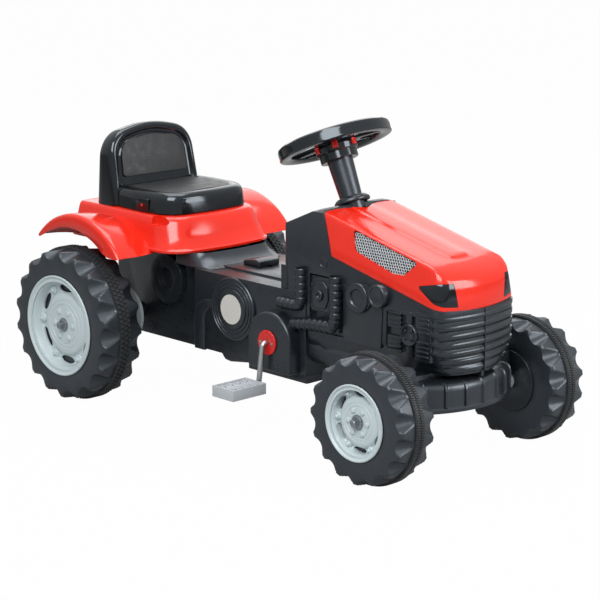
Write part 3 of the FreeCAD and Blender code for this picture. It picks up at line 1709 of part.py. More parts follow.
def seat_back(inset):
    """The backrest: a rounded front outline met by a leaning side outline, drawn in by a wall."""
    half = S.seat_half - inset
    side_half = S.back_side_half - inset
    foot = S.base_top_z - (S.wall if inset else 0)
    side_z = S.back_side_z
    top = S.back_top_z - inset
    flat_half = side_half - S.back_corner
    flat_z = top - S.back_arch
    bulge = math.sqrt(0.5)
    round_y = flat_half + (side_half - flat_half) * bulge
    round_z = side_z + (flat_z - side_z) * bulge
    rear = S.seat_rear - S.wall
    reach = 2 * S.seat_half

    def arc(*points):
        return Part.Arc(*[Vec(rear, y, z) for y, z in points]).toShape()

    def line(*points):
        return Part.LineSegment(*[Vec(rear, y, z) for y, z in points]).toShape()

    edges = [
        line((-half, foot), (half, foot)),
        line((half, foot), (side_half, side_z)),
        arc((side_half, side_z), (round_y, round_z), (flat_half, flat_z)),
        arc((flat_half, flat_z), (0, top), (-flat_half, flat_z)),
        arc((-flat_half, flat_z), (-round_y, round_z), (-side_half, side_z)),
        line((-side_half, side_z), (-half, foot)),
    ]
    front = Part.Face(Part.Wire(edges)).extrude(Vec(reach, 0, 0))
    back_top = S.back_top_x - S.back_top_t
    side = [
        (S.seat_rear + inset, foot),
        (S.back_foot_x - inset, foot),
        (S.back_foot_x - inset, S.seat_pan_z),
        (S.back_top_x - inset, S.back_top_z + S.wall),
        (back_top + inset, S.back_top_z + S.wall),
    ]
    return front.common(prism(side, "XZ", -reach, reach))


def build_seat():
    wall = S.wall
    low = S.base_top_z
    rear = S.seat_rear
    front = S.seat_front
    half = S.seat_half
    corner = S.seat_corner_r
    pan = S.seat_pan_z
    shape = plan_loft([(low, rear, front, half, corner), (pan, rear, front, half, corner)])
    shape = shape.fuse(seat_back(0))
    room = plan_loft(
        [
            (low - wall, rear + wall, front - wall, half - wall, corner - wall),
            (pan - wall, rear + wall, front - wall, half - wall, corner - wall),
        ]
    )
    shape = shape.cut(room).cut(seat_back(wall))
    shaped("seat", shape.removeSplitter())


# fasteners
def build_screws():
    bush_face = S.crank_boss_half + S.crank_bush_t
    reach = S.crank_bush_r * 0.65
    bush_screws = []
    for side in (1, -1):
        for shift in (-reach, reach):
            head = Vec(S.crank_x + shift, side * bush_face, S.crank_z)
            bush_screws.append(
                Part.makeCylinder(S.screw_head_r, S.screw_head_t, head, Vec(0, side, 0))
            )
    shaped("crank_bush_screws", Part.makeCompound(bush_screws))


def check_and_write():
    """Stop on any failed object, then write each node's solid."""
    doc.recompute()
    for thing in doc.Objects:
        bad = [state for state in thing.State if state in ("Invalid", "Error")]
        if bad:
            raise RuntimeError("%s is %s" % (thing.Label, bad))
    for node in NODES:
        if node.Shape.isNull() or not node.Shape.isValid():
            raise RuntimeError("%s has no valid shape" % node.Label)
    os.makedirs("parts", exist_ok=True)
    for node in NODES:
        node.Shape.exportStep("parts/%s.step" % node.Label)
    print(len(NODES), "nodes written")


build_wheels()
build_drive()
build_rear_chassis()
build_chassis_trim()
build_front_body()
build_hood()
build_steering()
build_front_axle()
build_seat_base()
build_seat()
build_screws()
check_and_write()
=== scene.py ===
# %% [markdown]
# # A child's pedal tractor
# The solid model already gives every piece its place, its size and the body that it moves with.
# This lesson dresses it: mould lines are softened, the wheels, hood, seat and fenders get their real forms,
# and every piece gets the finish of the plastic, rubber or steel that it is made of.

import json
import math

import bpy
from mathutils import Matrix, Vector


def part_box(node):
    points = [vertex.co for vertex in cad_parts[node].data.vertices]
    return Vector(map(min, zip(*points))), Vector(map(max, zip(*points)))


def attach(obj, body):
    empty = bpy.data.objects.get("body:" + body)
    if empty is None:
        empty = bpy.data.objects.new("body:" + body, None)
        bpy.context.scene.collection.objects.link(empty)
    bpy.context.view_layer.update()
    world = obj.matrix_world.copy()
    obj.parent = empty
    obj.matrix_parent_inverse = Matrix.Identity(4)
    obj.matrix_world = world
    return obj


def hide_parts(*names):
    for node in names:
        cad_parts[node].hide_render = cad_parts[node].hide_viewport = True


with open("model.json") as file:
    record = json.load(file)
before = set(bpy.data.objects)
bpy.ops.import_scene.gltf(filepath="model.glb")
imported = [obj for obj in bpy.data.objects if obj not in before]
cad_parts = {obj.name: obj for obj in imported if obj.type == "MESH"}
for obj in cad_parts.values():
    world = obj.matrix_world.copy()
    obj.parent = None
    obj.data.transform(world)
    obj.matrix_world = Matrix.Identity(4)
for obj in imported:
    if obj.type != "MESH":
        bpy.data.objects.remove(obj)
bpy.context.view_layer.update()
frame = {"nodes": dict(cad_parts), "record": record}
MM = 0.001
node_body = {node: body for body, nodes in frame["record"]["behaviour"]["bodies"].items() for node in nodes}
node_slot = {row["node"]: row["material_slot"] for row in frame["record"]["subparts"]}

# %% [markdown]
# ## Where things are
# A tractor is drawn from its rear axle, with x forwards, y to the rider's left and z up.
# Reading the axle's own box keeps the drawing right if the solid model is ever shifted.

# %% Places, measured from the ground under the rear axle
axle_low, axle_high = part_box("rear_axle")
REAR_AXLE_X = (axle_low.x + axle_high.x) / 2


def spot(x, y, z):
    """A place in millimetres from under the rear axle, as a point in metres."""
    return Vector((REAR_AXLE_X + x * MM, y * MM, z * MM))


print("rear axle at x =", round(REAR_AXLE_X, 4), "m")

# %% [markdown]
# ## Camera
# The photo's viewpoint was found from the four wheel rims, which are circles seen at a slant.
# A long lens far away gives the same gentle perspective, so the camera is set by angle, distance
# and focal length.

# %% Camera
VIEW_ACROSS = math.radians(46.27)
VIEW_DOWN = math.radians(12.92)
VIEW_DISTANCE = 3.668
VIEW_TARGET = Vector((0.02655, 0.0, 0.2245))
LENS_MM = 118.0
SENSOR_MM = 36.0
towards_camera = Vector((
    math.sin(VIEW_ACROSS) * math.cos(VIEW_DOWN),
    -math.cos(VIEW_ACROSS) * math.cos(VIEW_DOWN),
    math.sin(VIEW_DOWN),
))
bpy.ops.object.select_all(action="DESELECT")
bpy.ops.object.camera_add(location=VIEW_TARGET + towards_camera * VIEW_DISTANCE)
camera = bpy.context.object
camera.rotation_euler = (-towards_camera).to_track_quat("-Z", "Y").to_euler()
camera.data.lens = LENS_MM
camera.data.sensor_width = SENSOR_MM
bpy.context.scene.camera = camera
bpy.context.scene.view_settings.view_transform = "Standard"
print("camera at", [round(value, 3) for value in camera.location])

# %% [markdown]
# ## Materials
# Nearly everything on this toy is moulded plastic, so one recipe serves most pieces: two close shades
# in soft clouds, a gloss that varies a little, and a fine bump left by the mould.
# Each pattern's scale comes from a real size in millimetres.

# %% Colour and node helpers


def linear(hex_colour):
    """An sRGB hex colour as the linear colour that a shader works with."""
    values = [int(hex_colour[place:place + 2], 16) / 255 for place in (0, 2, 4)]
    return tuple([v / 12.92 if v <= 0.04045 else ((v + 0.055) / 1.055) ** 2.4 for v in values] + [1.0])


def add_node(tree, kind, inputs, **settings):
    """One shader node, with its settings, and its inputs given as values or linked from other nodes."""
    node = tree.nodes.new(kind)
    for name, value in settings.items():
        setattr(node, name, value)
    for name, value in inputs.items():
        if isinstance(value, bpy.types.NodeSocket):
            tree.links.new(value, node.inputs[name])
        else:
            node.inputs[name].default_value = value
    return node


def repeats(size_mm):
    """Texture scale for a pattern whose features are this many millimetres across."""
    return 1 / (size_mm * MM)


def new_finish(name):
    """A new material, its node tree, its shader, and the place on a piece that its patterns follow."""
    material = bpy.data.materials.new(name)
    material.use_nodes = True
    tree = material.node_tree
    place = add_node(tree, "ShaderNodeTexCoord", {}).outputs["Object"]
    return material, tree, tree.nodes["Principled BSDF"], place


print("red in linear light:", [round(value, 3) for value in linear("D2201A")])

# %% Moulded plastic
CLOUD_MM = 55
WEAR_MM = 18
WEAR_RANGE = (0.3, 0.7)
BUMP_STRENGTH = 0.6
COOL = (0.82, 0.91, 1.0, 1.0)


def moulded_plastic(name, shades, gloss, grain_mm, grain_depth_mm, **shader_values):
    """Moulded plastic: two shades, the range of roughness, and the size and depth of the mould's grain."""
    material, tree, shader, place = new_finish(name)

    def clouds(size_mm, detail):
        """A cloud pattern with features of a size."""
        inputs = {"Vector": place, "Scale": repeats(size_mm), "Detail": detail}
        return add_node(tree, "ShaderNodeTexNoise", inputs).outputs["Fac"]

    colour = add_node(tree, "ShaderNodeMix", {"Factor": clouds(CLOUD_MM, 3.0)}, data_type="RGBA")
    for socket, shade in zip([s for s in colour.inputs if s.type == "RGBA"], shades):
        socket.default_value = linear(shade)
    tree.links.new([s for s in colour.outputs if s.type == "RGBA"][0], shader.inputs["Base Color"])
    sheen = add_node(tree, "ShaderNodeMapRange", {
        "Value": clouds(WEAR_MM, 4.0), "From Min": WEAR_RANGE[0], "From Max": WEAR_RANGE[1],
        "To Min": gloss[0], "To Max": gloss[1],
    })
    tree.links.new(sheen.outputs["Result"], shader.inputs["Roughness"])
    bump = add_node(tree, "ShaderNodeBump", {
        "Height": clouds(grain_mm, 2.0), "Strength": BUMP_STRENGTH, "Distance": grain_depth_mm * MM,
    })
    tree.links.new(bump.outputs["Normal"], shader.inputs["Normal"])
    for socket, value in shader_values.items():
        shader.inputs[socket.replace("_", " ")].default_value = value
    return material


finish_of_slot = {
    "red_shell": moulded_plastic(
        "red gloss polyethylene", ("DC2613", "D62310"), (0.13, 0.18), 9.0, 0.03, IOR=1.5,
    ),
    "black_moulding": moulded_plastic(
        "black satin polyethylene", ("1A1D22", "161A1D"), (0.26, 0.36), 1.4, 0.04,
        IOR=1.6, Specular_Tint=COOL,
    ),
    "black_gloss": moulded_plastic(
        "black gloss polypropylene", ("0E1013", "0B0D0F"), (0.08, 0.14), 8.0, 0.02,
        IOR=1.55, Specular_Tint=COOL,
    ),
    "tyre_plastic": moulded_plastic(
        "black moulded tyre polyethylene", ("22262B", "1D2125"), (0.34, 0.44), 1.8, 0.05,
        IOR=1.6, Specular_Tint=COOL,
    ),
    "tread_rubber": moulded_plastic("black tread rubber", ("23262A", "1C1F22"), (0.50, 0.65), 0.9, 0.05),
    "rim_grey": moulded_plastic(
        "pale grey moulded polypropylene", ("BECBCE", "B6C3C6"), (0.28, 0.38), 1.6, 0.03,
    ),
    "pedal_grey": moulded_plastic("mid grey moulded nylon", ("B4B9BE", "AAAFB4"), (0.34, 0.46), 1.2, 0.03),
    "red_trim": moulded_plastic("red moulded acetal", ("C8221C", "BC1D18"), (0.24, 0.34), 1.2, 0.02),
    "silver_mesh": moulded_plastic(
        "silver painted moulded mesh", ("D6D9DD", "CBCED2"), (0.22, 0.32), 1.0, 0.01,
    ),
    "badge_grey": moulded_plastic("pale grey matt vinyl", ("C9C7C2", "C0BEB9"), (0.45, 0.60), 1.0, 0.01),
}
grained_black = moulded_plastic("black grained vinyl", ("16181B", "0F1113"), (0.42, 0.58), 1.6, 0.5)
print("plastics:", len(bpy.data.materials))

# %% [markdown]
# ## Steel
# The crank, axles and rods are bright zinc-plated steel. Plating grows in small crystals,
# so a cell pattern a few millimetres across changes the roughness, and the metal's colour hardly moves.

# %% Plated steel
CRYSTAL_SPREAD = 0.8


def plated_steel(name, shade, gloss, crystal_mm):
    """Plated steel with a crystal pattern in its gloss."""
    material, tree, shader, place = new_finish(name)
    shader.inputs["Base Color"].default_value = linear(shade)
    shader.inputs["Metallic"].default_value = 1.0
    crystals = add_node(tree, "ShaderNodeTexVoronoi", {"Vector": place, "Scale": repeats(crystal_mm)})
    sheen = add_node(tree, "ShaderNodeMapRange", {
        "Value": crystals.outputs["Distance"], "From Max": CRYSTAL_SPREAD,
        "To Min": gloss[0], "To Max": gloss[1],
    })
    tree.links.new(sheen.outputs["Result"], shader.inputs["Roughness"])
    return material


finish_of_slot["zinc_steel"] = plated_steel("bright zinc plated steel", "B9BBBD", (0.24, 0.40), 3.0)
finish_of_slot["cap_metal"] = plated_steel("polished steel cap", "8D9399", (0.18, 0.30), 4.0)
finish_of_slot["dash_silver"] = finish_of_slot["badge_grey"]
for node, solid in frame["nodes"].items():
    solid.data.materials.clear()
    solid.data.materials.append(finish_of_slot[node_slot[node]])
print("finishes by slot:", len(finish_of_slot))

# %% [markdown]
# ## Floor and light
# A plain white floor runs far back, and large soft lamps stand above and beside the tractor.
# The camera and glass see a white room, and mirrors see it dim low down and bright above, while the light on
# the object stays at a plain level.

# %% Floor
FLOOR_HALF = 40.0
FLOOR_DEPTH = 0.0005
FLOOR_PAINT = "A4A4A4"
FLOOR_GLOW = 0.985
WHITE = (1, 1, 1, 1)
GLOSS_LOW = 0.1
GLOSS_HIGH = 0.9
GLOSS_HEIGHTS = (0.2, -0.8)
bpy.ops.object.select_all(action="DESELECT")
bpy.ops.mesh.primitive_plane_add(size=2 * FLOOR_HALF, location=(0, 0, -FLOOR_DEPTH))
floor = bpy.context.object
floor.name = "studio_floor"


def combined(tree, operation, first, second):
    """The result of a math node on two values."""
    return add_node(tree, "ShaderNodeMath", {0: first, 1: second}, operation=operation).outputs["Value"]


def seen_directly(tree, low, high):
    """1 for the camera and glass, a share from low to high, growing upwards, for a gloss, else 0."""
    path = add_node(tree, "ShaderNodeLightPath", {})
    look = add_node(tree, "ShaderNodeNewGeometry", {}).outputs["Incoming"]
    height = add_node(tree, "ShaderNodeSeparateXYZ", {"Vector": look}).outputs["Z"]
    in_gloss = add_node(tree, "ShaderNodeMapRange", {
        "Value": height, "From Min": GLOSS_HEIGHTS[0], "From Max": GLOSS_HEIGHTS[1],
        "To Min": low, "To Max": high,
    }).outputs["Result"]
    dimmed = combined(tree, "MULTIPLY", path.outputs["Is Glossy Ray"], in_gloss)
    seen = combined(tree, "MAXIMUM", path.outputs["Is Camera Ray"], dimmed)
    return combined(tree, "MAXIMUM", seen, path.outputs["Is Transmission Ray"])


white_floor = bpy.data.materials.new("white studio floor")
white_floor.use_nodes = True
floor_tree = white_floor.node_tree
floor_tree.nodes.clear()
paint = add_node(floor_tree, "ShaderNodeBsdfDiffuse", {"Color": linear(FLOOR_PAINT)})
glow = add_node(floor_tree, "ShaderNodeEmission", {"Color": WHITE, "Strength": 1.0})
share = combined(floor_tree, "MULTIPLY", seen_directly(floor_tree, GLOSS_LOW, GLOSS_LOW), FLOOR_GLOW)
lit = add_node(floor_tree, "ShaderNodeMixShader", {0: share, 1: paint.outputs[0], 2: glow.outputs[0]})
add_node(floor_tree, "ShaderNodeOutputMaterial", {"Surface": lit.outputs[0]})
floor.data.materials.append(white_floor)
print("floor laid")

# %% Room light and lamps
ROOM_LIGHT = 0.30
world = bpy.data.worlds.new("white studio room")
bpy.context.scene.world = world
world.use_nodes = True
room = world.node_tree
room.nodes.clear()
level = add_node(room, "ShaderNodeMapRange", {
    "Value": seen_directly(room, GLOSS_LOW, GLOSS_HIGH), "To Min": ROOM_LIGHT, "To Max": 1.0,
})
air = add_node(room, "ShaderNodeBackground", {"Color": WHITE, "Strength": level.outputs["Result"]})
add_node(room, "ShaderNodeOutputWorld", {"Surface": air.outputs[0]})


def soft_lamp(name, place, size, watts):
    """A square softbox that looks at the tractor."""
    bpy.ops.object.light_add(type="AREA", location=place)
    lamp = bpy.context.object
    lamp.name = name
    lamp.data.size = size
    lamp.data.energy = watts
    lamp.rotation_euler = (VIEW_TARGET - Vector(place)).to_track_quat("-Z", "Y").to_euler()


soft_lamp("key_softbox", (1.6, -2.6, 2.8), 2.2, 135)
soft_lamp("top_softbox", (-0.4, 0.3, 3.0), 2.0, 55)
soft_lamp("front_softbox", (3.2, 1.2, 1.4), 1.8, 80)
soft_lamp("rear_softbox", (-2.2, 2.2, 1.9), 2.4, 24)
print("room light", ROOM_LIGHT)

# %% [markdown]
# ## Modelling helpers
# Wheels, caps and covers are round, so the quickest way to make one is to draw half its outline and spin it.
# A circle primitive gives the string of points, the points are moved onto the outline,
# and the spin does the rest.

# %% Deselecting and naming


def deselect():
    """Back to object mode with nothing selected, so that the next operator acts on new work only."""
    if bpy.context.object and bpy.context.object.mode != "OBJECT":
        bpy.ops.object.mode_set(mode="OBJECT")
    bpy.ops.object.select_all(action="DESELECT")


def named(name):
    """The piece that was just added, under its own name."""
    piece = bpy.context.object
    piece.name = name
    piece.data.name = name
    return piece


def activate(piece):
    """Selects one piece alone and makes it the one that operators act on."""
    deselect()
    piece.select_set(True)
    bpy.context.view_layer.objects.active = piece


def modify(piece, kind, **settings):
    """Gives a piece a modifier with some settings and applies it."""
    modifier = piece.modifiers.new(kind.lower(), kind)
    for name, value in settings.items():
        setattr(modifier, name, value)
    activate(piece)
    bpy.ops.object.modifier_apply(modifier=modifier.name)


def put_on(piece, places):
    """Moves a piece's points onto places, in order."""
    for corner, place in zip(piece.data.vertices, places):
        corner.co = place


def edit_all(piece, *steps):
    """Runs mesh operators, each with its settings, on everything in a piece."""
    activate(piece)
    bpy.ops.object.mode_set(mode="EDIT")
    for operator, settings in steps:
        bpy.ops.mesh.select_all(action="SELECT")
        operator(**settings)
    bpy.ops.object.mode_set(mode="OBJECT")


FACE_OUT = (bpy.ops.mesh.normals_make_consistent, {"inside": False})


def tidy_normals(piece, merge_mm=0.02):
    """Merges points that lie together and turns every face outwards."""
    edit_all(piece, (bpy.ops.mesh.remove_doubles, {"threshold": merge_mm * MM}), FACE_OUT)


def copy_of(name, source):
    """A copy of a piece under another name."""
    piece = bpy.data.objects.new(name, source.data.copy())
    bpy.context.scene.collection.objects.link(piece)
    return piece


def joined(name, pieces):
    """Several pieces made one."""
    deselect()
    for piece in pieces:
        piece.select_set(True)
    bpy.context.view_layer.objects.active = pieces[0]
    bpy.ops.object.join()
    return named(name)


def cut(piece, cutter, operation="DIFFERENCE"):
    """Cuts a piece with another one, which is then thrown away."""
    modify(piece, "BOOLEAN", operation=operation, object=cutter, solver="EXACT")
    bpy.data.objects.remove(cutter)


print("helpers ready")

# %% Spinning an outline


def spun(name, outline, place, axis, across, steps, closed=True):
    """An outline of (radius, along) points in millimetres, spun once round an axis through a place."""
    deselect()
    bpy.ops.mesh.primitive_circle_add(vertices=len(outline), radius=MM, location=(0, 0, 0))
    piece = named(name)
    put_on(piece, [place + across * radius * MM + axis * along * MM for radius, along in outline])
    if not closed:
        bpy.ops.object.mode_set(mode="EDIT")
        bpy.ops.mesh.select_mode(type="EDGE")
        bpy.ops.object.mode_set(mode="OBJECT")
        for edge in piece.data.edges:
            edge.select = set(edge.vertices) == {0, len(outline) - 1}
        bpy.ops.object.mode_set(mode="EDIT")
        bpy.ops.mesh.delete(type="EDGE")
        bpy.ops.mesh.select_mode(type="VERT")
    turn = {"steps": steps, "angle": math.tau, "center": place, "axis": axis}
    edit_all(piece, (bpy.ops.mesh.spin, turn))
    tidy_normals(piece)
    return piece


def dress(piece, node, crisp=None, finish=None):
    """Puts a piece in its solid's place: same body, slot and finish, smooth but for edges over an angle."""
    if crisp:
        activate(piece)
        bpy.ops.object.shade_smooth_by_angle(angle=math.radians(crisp))
    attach(piece, node_body[node])
    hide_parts(node)
    piece.data.materials.clear()
    piece.data.materials.append(finish or finish_of_slot[node_slot[node]])
    print(piece.name, len(piece.data.polygons), "faces")


print("spinning ready")

# %% [markdown]
# ## Sheets and plates
# Two more ways of making a form serve the bodywork. A sheet is a grid pulled onto rows of places,
# which suits the hood. A plate is a flat outline pushed straight out, with its edges rounded,
# which suits the seat and the engine's details.

# %% Sheets, plates and rounded edges
ARC_SHARE = 0.49


def sheet(name, rows):
    """A grid whose points are put on rows of places."""
    deselect()
    bpy.ops.mesh.primitive_grid_add(
        x_subdivisions=len(rows[0]) - 1, y_subdivisions=len(rows) - 1, size=MM, location=(0, 0, 0),
    )
    piece = named(name)
    put_on(piece, [place for row in rows for place in row])
    tidy_normals(piece)
    return piece


def close_ends(piece):
    """Fills a loft's open ends."""
    edit_all(piece, (bpy.ops.mesh.fill_holes, {"sides": 0}), FACE_OUT)
    return piece


def flat_face(name, places):
    """One face with its corners on places."""
    deselect()
    bpy.ops.mesh.primitive_circle_add(vertices=len(places), radius=MM, fill_type="NGON", location=(0, 0, 0))
    piece = named(name)
    put_on(piece, places)
    return piece


def round_edges(piece, round_mm, segments=3, angle=30):
    """Rounds every edge that turns by more than an angle."""
    limit = math.radians(angle)
    modify(piece, "BEVEL", width=round_mm * MM, segments=segments, limit_method="ANGLE", angle_limit=limit)


def rounded_outline(corners, steps=6):
    """A closed outline of (u, v, radius) corners, each turned into an arc that leaves room for the next."""
    points = []
    for number, (u, v, radius) in enumerate(corners):
        corner = Vector((u, v))
        before = Vector(corners[number - 1][:2]) - corner
        after = Vector(corners[(number + 1) % len(corners)][:2]) - corner
        if radius <= 0:
            points.append((u, v))
            continue
        half = before.angle(after) / 2
        reach = min(radius / math.tan(half), before.length * ARC_SHARE, after.length * ARC_SHARE)
        size = reach * math.tan(half)
        middle = corner + (before.normalized() + after.normalized()).normalized() * size / math.sin(half)
        first = corner + before.normalized() * reach - middle
        turn = first.angle_signed(corner + after.normalized() * reach - middle)
        for step in range(steps + 1):
            angle = -turn * step / steps
            spun_to = Vector((
                first.x * math.cos(angle) - first.y * math.sin(angle),
                first.x * math.sin(angle) + first.y * math.cos(angle),
            ))
            points.append(tuple(middle + spun_to))
    return points


def box_outline(u, v, radius, steps=6):
    """A rounded rectangle from a range of u and a range of v."""
    corners = [(u[0], v[0]), (u[1], v[0]), (u[1], v[1]), (u[0], v[1])]
    return rounded_outline([(*corner, radius) for corner in corners], steps)


def mirrored(half):
    """A whole run of (u, v, radius) corners from the half with v below or at 0."""
    return half + [(u, -v, radius) for u, v, radius in reversed(half) if v]


def plate(name, outline, start, end, plane, round_mm=0.0, segments=3):
    """An outline pushed out from its plane, from one distance to another, with rounded edges; all in mm."""
    piece = flat_face(name, [plane(u, v, start) for u, v in outline])
    push = {"value": plane(0, 0, end) - plane(0, 0, start)}
    edit_all(piece, (bpy.ops.mesh.extrude_region_move, {"TRANSFORM_OT_translate": push}))
    tidy_normals(piece)
    if round_mm:
        round_edges(piece, round_mm, segments)
    return piece


SIDES = {"left": 1, "right": -1}


def side_plane(side):
    """The tractor's side as a drawing plane: x forwards, z up, out from the middle."""
    return lambda x, z, out: spot(x, SIDES[side] * out, z)


def side_plates(side, rows):
    """Plates on the tractor's side, from rows of name, outline, start, face and rounding."""
    return [plate(*row[:4], side_plane(side), *row[4:]) for row in rows]


def clamped(share):
    """A share kept between 0 and 1."""
    return min(max(share, 0.0), 1.0)


def wave(place, pitch):
    """A wave that is 1 at every whole pitch and 0 half way between."""
    return 0.5 + 0.5 * math.cos(math.tau * place / pitch)


print("sheets and plates ready")

# %% [markdown]
# ## Tyres
# Each tyre is a hollow blow moulding whose shoulders have cone-shaped scoops, staggered from side to side.
# Cutting dozens of cones with booleans would be slow and leave ragged edges, so the ring is spun finely
# and each point is then moved in to the scoop's surface, with a soft turn where the two meet.

# %% Wheel sizes
UP = Vector((0, 0, 1))
LEFT = Vector((0, 1, 0))
FORWARD = Vector((1, 0, 0))
WHEELS = {
    "rear": {"lugs": 18, "scoop": 24.0, "band": 24.0, "flange": 98.0, "bore": 86.0},
    "front": {"lugs": 16, "scoop": 21.0, "band": 20.0, "flange": 66.5, "bore": 57.0},
}
ALL_WHEELS = [(end, side) for end in WHEELS for side in SIDES]
SCOOP_LIFT = 2.0
SCOOP_TIP = 9.0
SCOOP_TURN = 1.2
SCOOP_FADE = 0.7
BAND_SEAT = 6.0
CROWN_DROP = 5.0
SHOULDER_DROP = 6.0
CROWN_STEPS = 14
WALL_BULGE = 1.2
FLANGE_LIP = 5.0
STEPS_PER_LUG = 20
HAIR = 0.01


def turned_plane(middle, ahead, aside, up, turn):
    """A drawing plane about a middle: u out along a direction turned from ahead, v across it, w up."""
    along = ahead * math.cos(turn) + aside * math.sin(turn)
    across = aside * math.cos(turn) - ahead * math.sin(turn)
    return lambda u, v, w: middle + (along * u + across * v + up * w) * MM


def wheel_place(end, side):
    """Centre of a wheel in metres, with its tyre's radius and width in millimetres."""
    low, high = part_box(f"{end}_tyre_{side}")
    band_low, band_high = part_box(f"{end}_tread_band_{side}")
    return (low + high) / 2, (band_high.z - band_low.z) / 2 / MM, (high.y - low.y) / MM


for end in WHEELS:
    print(end, "wheel radius and width in mm:", [round(value, 1) for value in wheel_place(end, "left")[1:]])

# %% Tyre outline and scoops


def soft_minimum(first, second, turn):
    """The smaller of two values, with a soft turn of the given width where they meet."""
    mix = max(turn - abs(first - second), 0.0) / turn
    return min(first, second) - mix * mix * turn / 4


def crown_radius(radius, half, band, out):
    """The tyre's uncut radius at a distance from its middle plane, with a rounded shoulder."""
    share = max(abs(out) - band / 2, 0.0) / (half - band / 2)
    top = radius - CROWN_DROP - (SHOULDER_DROP - CROWN_DROP) * share
    edge = max(abs(out) - (half - SHOULDER_DROP), 0.0)
    return top - (SHOULDER_DROP - math.sqrt(max(SHOULDER_DROP ** 2 - edge ** 2, 0.0)))


def scooped_radius(end, radius, half, out, turn):
    """The tyre's radius at a distance from its middle plane and an angle, with the scoops taken out."""
    sizes = WHEELS[end]
    plain = crown_radius(radius, half, sizes["band"], out)
    pitch = math.tau / sizes["lugs"]
    phase = 0.0 if out > 0 else pitch / 2
    away = (turn - phase + pitch / 2) % pitch - pitch / 2
    share = max(abs(out) - sizes["band"] / 2, 0.0) / (half - sizes["band"] / 2)
    cone = SCOOP_TIP + (sizes["scoop"] - SCOOP_TIP) * share
    along = away * (radius + SCOOP_LIFT)
    if abs(along) >= cone or abs(out) <= sizes["band"] / 2:
        return plain
    return soft_minimum(plain, radius + SCOOP_LIFT - math.sqrt(cone ** 2 - along ** 2), SCOOP_TURN)


def tyre_outline(end, radius, half):
    """Half a tyre's section as (radius, along): crown, groove for the band, sidewalls and bore."""
    sizes = WHEELS[end]
    band = sizes["band"] / 2
    crown = [band + (half - band) * step / CROWN_STEPS for step in range(CROWN_STEPS + 1)]
    outer = [(crown_radius(radius, half, sizes["band"], out), out) for out in crown]
    wall = [
        (radius - 16, half + WALL_BULGE / 2),
        (radius - 26, half + WALL_BULGE),
        (sizes["flange"] + FLANGE_LIP, half + WALL_BULGE),
        (sizes["flange"] - 4, half - 1.0),
        (sizes["bore"], half - 2.0),
    ]
    left = [(radius - BAND_SEAT, 0.0), (radius - BAND_SEAT, band)] + outer + wall
    return left + [(r, -out) for r, out in reversed(left[1:])]


print("rear tyre outline points:", len(tyre_outline("rear", 150, 46)))

# %% Tyres on all four wheels


def moulded_tyre(end, side):
    """One tyre with its scoops, in place."""
    centre, radius, width = wheel_place(end, side)
    half = width / 2 - WALL_BULGE
    sizes = WHEELS[end]
    inner = sizes["flange"] + FLANGE_LIP
    outline = tyre_outline(end, radius, half)
    piece = spun(f"moulded_{end}_tyre_{side}", outline, centre, LEFT, UP, sizes["lugs"] * STEPS_PER_LUG)
    for corner in piece.data.vertices:
        reach = corner.co - centre
        out = reach.y / MM
        r = math.hypot(reach.x, reach.z) / MM
        turn = math.atan2(reach.x, reach.z)
        if r < inner + 1 or abs(out) <= sizes["band"] / 2 + HAIR:
            continue
        flat_out = math.copysign(min(abs(out), half), out)
        plain = crown_radius(radius, half, sizes["band"], flat_out)
        share = min((r - inner) / (plain - inner), 1.0)
        drop = (plain - scooped_radius(end, radius, half, flat_out, turn)) * share ** SCOOP_FADE
        corner.co = centre + LEFT * reach.y + (reach - LEFT * reach.y) * (r - drop) / r
    dress(piece, f"{end}_tyre_{side}", 40)


for end, side in ALL_WHEELS:
    moulded_tyre(end, side)

# %% [markdown]
# ## Tread bands
# A rubber ring runs round the middle of each tyre. The rear ones carry rows of small bricks,
# laid as in a wall, and the front ones have fine cross teeth.
# Both are a spun ring whose points are lifted in a repeating pattern.

# %% Tread bands
BRICK_ROWS = {"rear": (-7.8, 0.0, 7.8), "front": (-4.9, 4.9)}
BRICK_HALF = {"rear": 3.2, "front": 3.8}
BRICK_PITCH = {"rear": 9.4, "front": 4.2}
BRICK_TALL = 2.2
BRICK_FOOT = 0.5
BRICK_REACH = 0.1
BAND_GAP = 0.1
BAND_DEEP = 5.9
STEPS_PER_BRICK = 6
RAISED_STEPS = 4


def band_outline(end, radius):
    """Half the band's section: a flat inner face, and a step up and down for each row of bricks."""
    half = WHEELS[end]["band"] / 2 - BAND_GAP
    low = radius - BRICK_TALL
    outer = []
    for middle in BRICK_ROWS[end]:
        near, far = middle - BRICK_HALF[end], middle + BRICK_HALF[end]
        outer += [(low, near - BRICK_FOOT), (low + HAIR, near), (low + HAIR, far), (low, far + BRICK_FOOT)]
    return [(radius - BAND_DEEP, -half), (low, -half)] + outer + [(low, half), (radius - BAND_DEEP, half)]


def tread_band(end, side):
    """One rubber band with its bricks, in place."""
    centre, radius, _ = wheel_place(end, side)
    count = round(math.tau * radius / BRICK_PITCH[end])
    steps = count * STEPS_PER_BRICK
    piece = spun(f"bricked_{end}_band_{side}", band_outline(end, radius), centre, LEFT, UP, steps)
    for corner in piece.data.vertices:
        reach = corner.co - centre
        r = math.hypot(reach.x, reach.z) / MM
        near = BRICK_HALF[end] + BRICK_REACH
        rows = [n for n, middle in enumerate(BRICK_ROWS[end]) if abs(reach.y / MM - middle) < near]
        step = round((math.atan2(reach.x, reach.z) % math.tau) / math.tau * steps)
        if r < radius - BRICK_TALL - BRICK_FOOT or not rows:
            continue
        if (step + rows[0] * STEPS_PER_BRICK // 2) % STEPS_PER_BRICK < RAISED_STEPS:
            corner.co = centre + LEFT * reach.y + (reach - LEFT * reach.y) * radius / r
    dress(piece, f"{end}_tread_band_{side}", 25)


for end, side in ALL_WHEELS:
    tread_band(end, side)

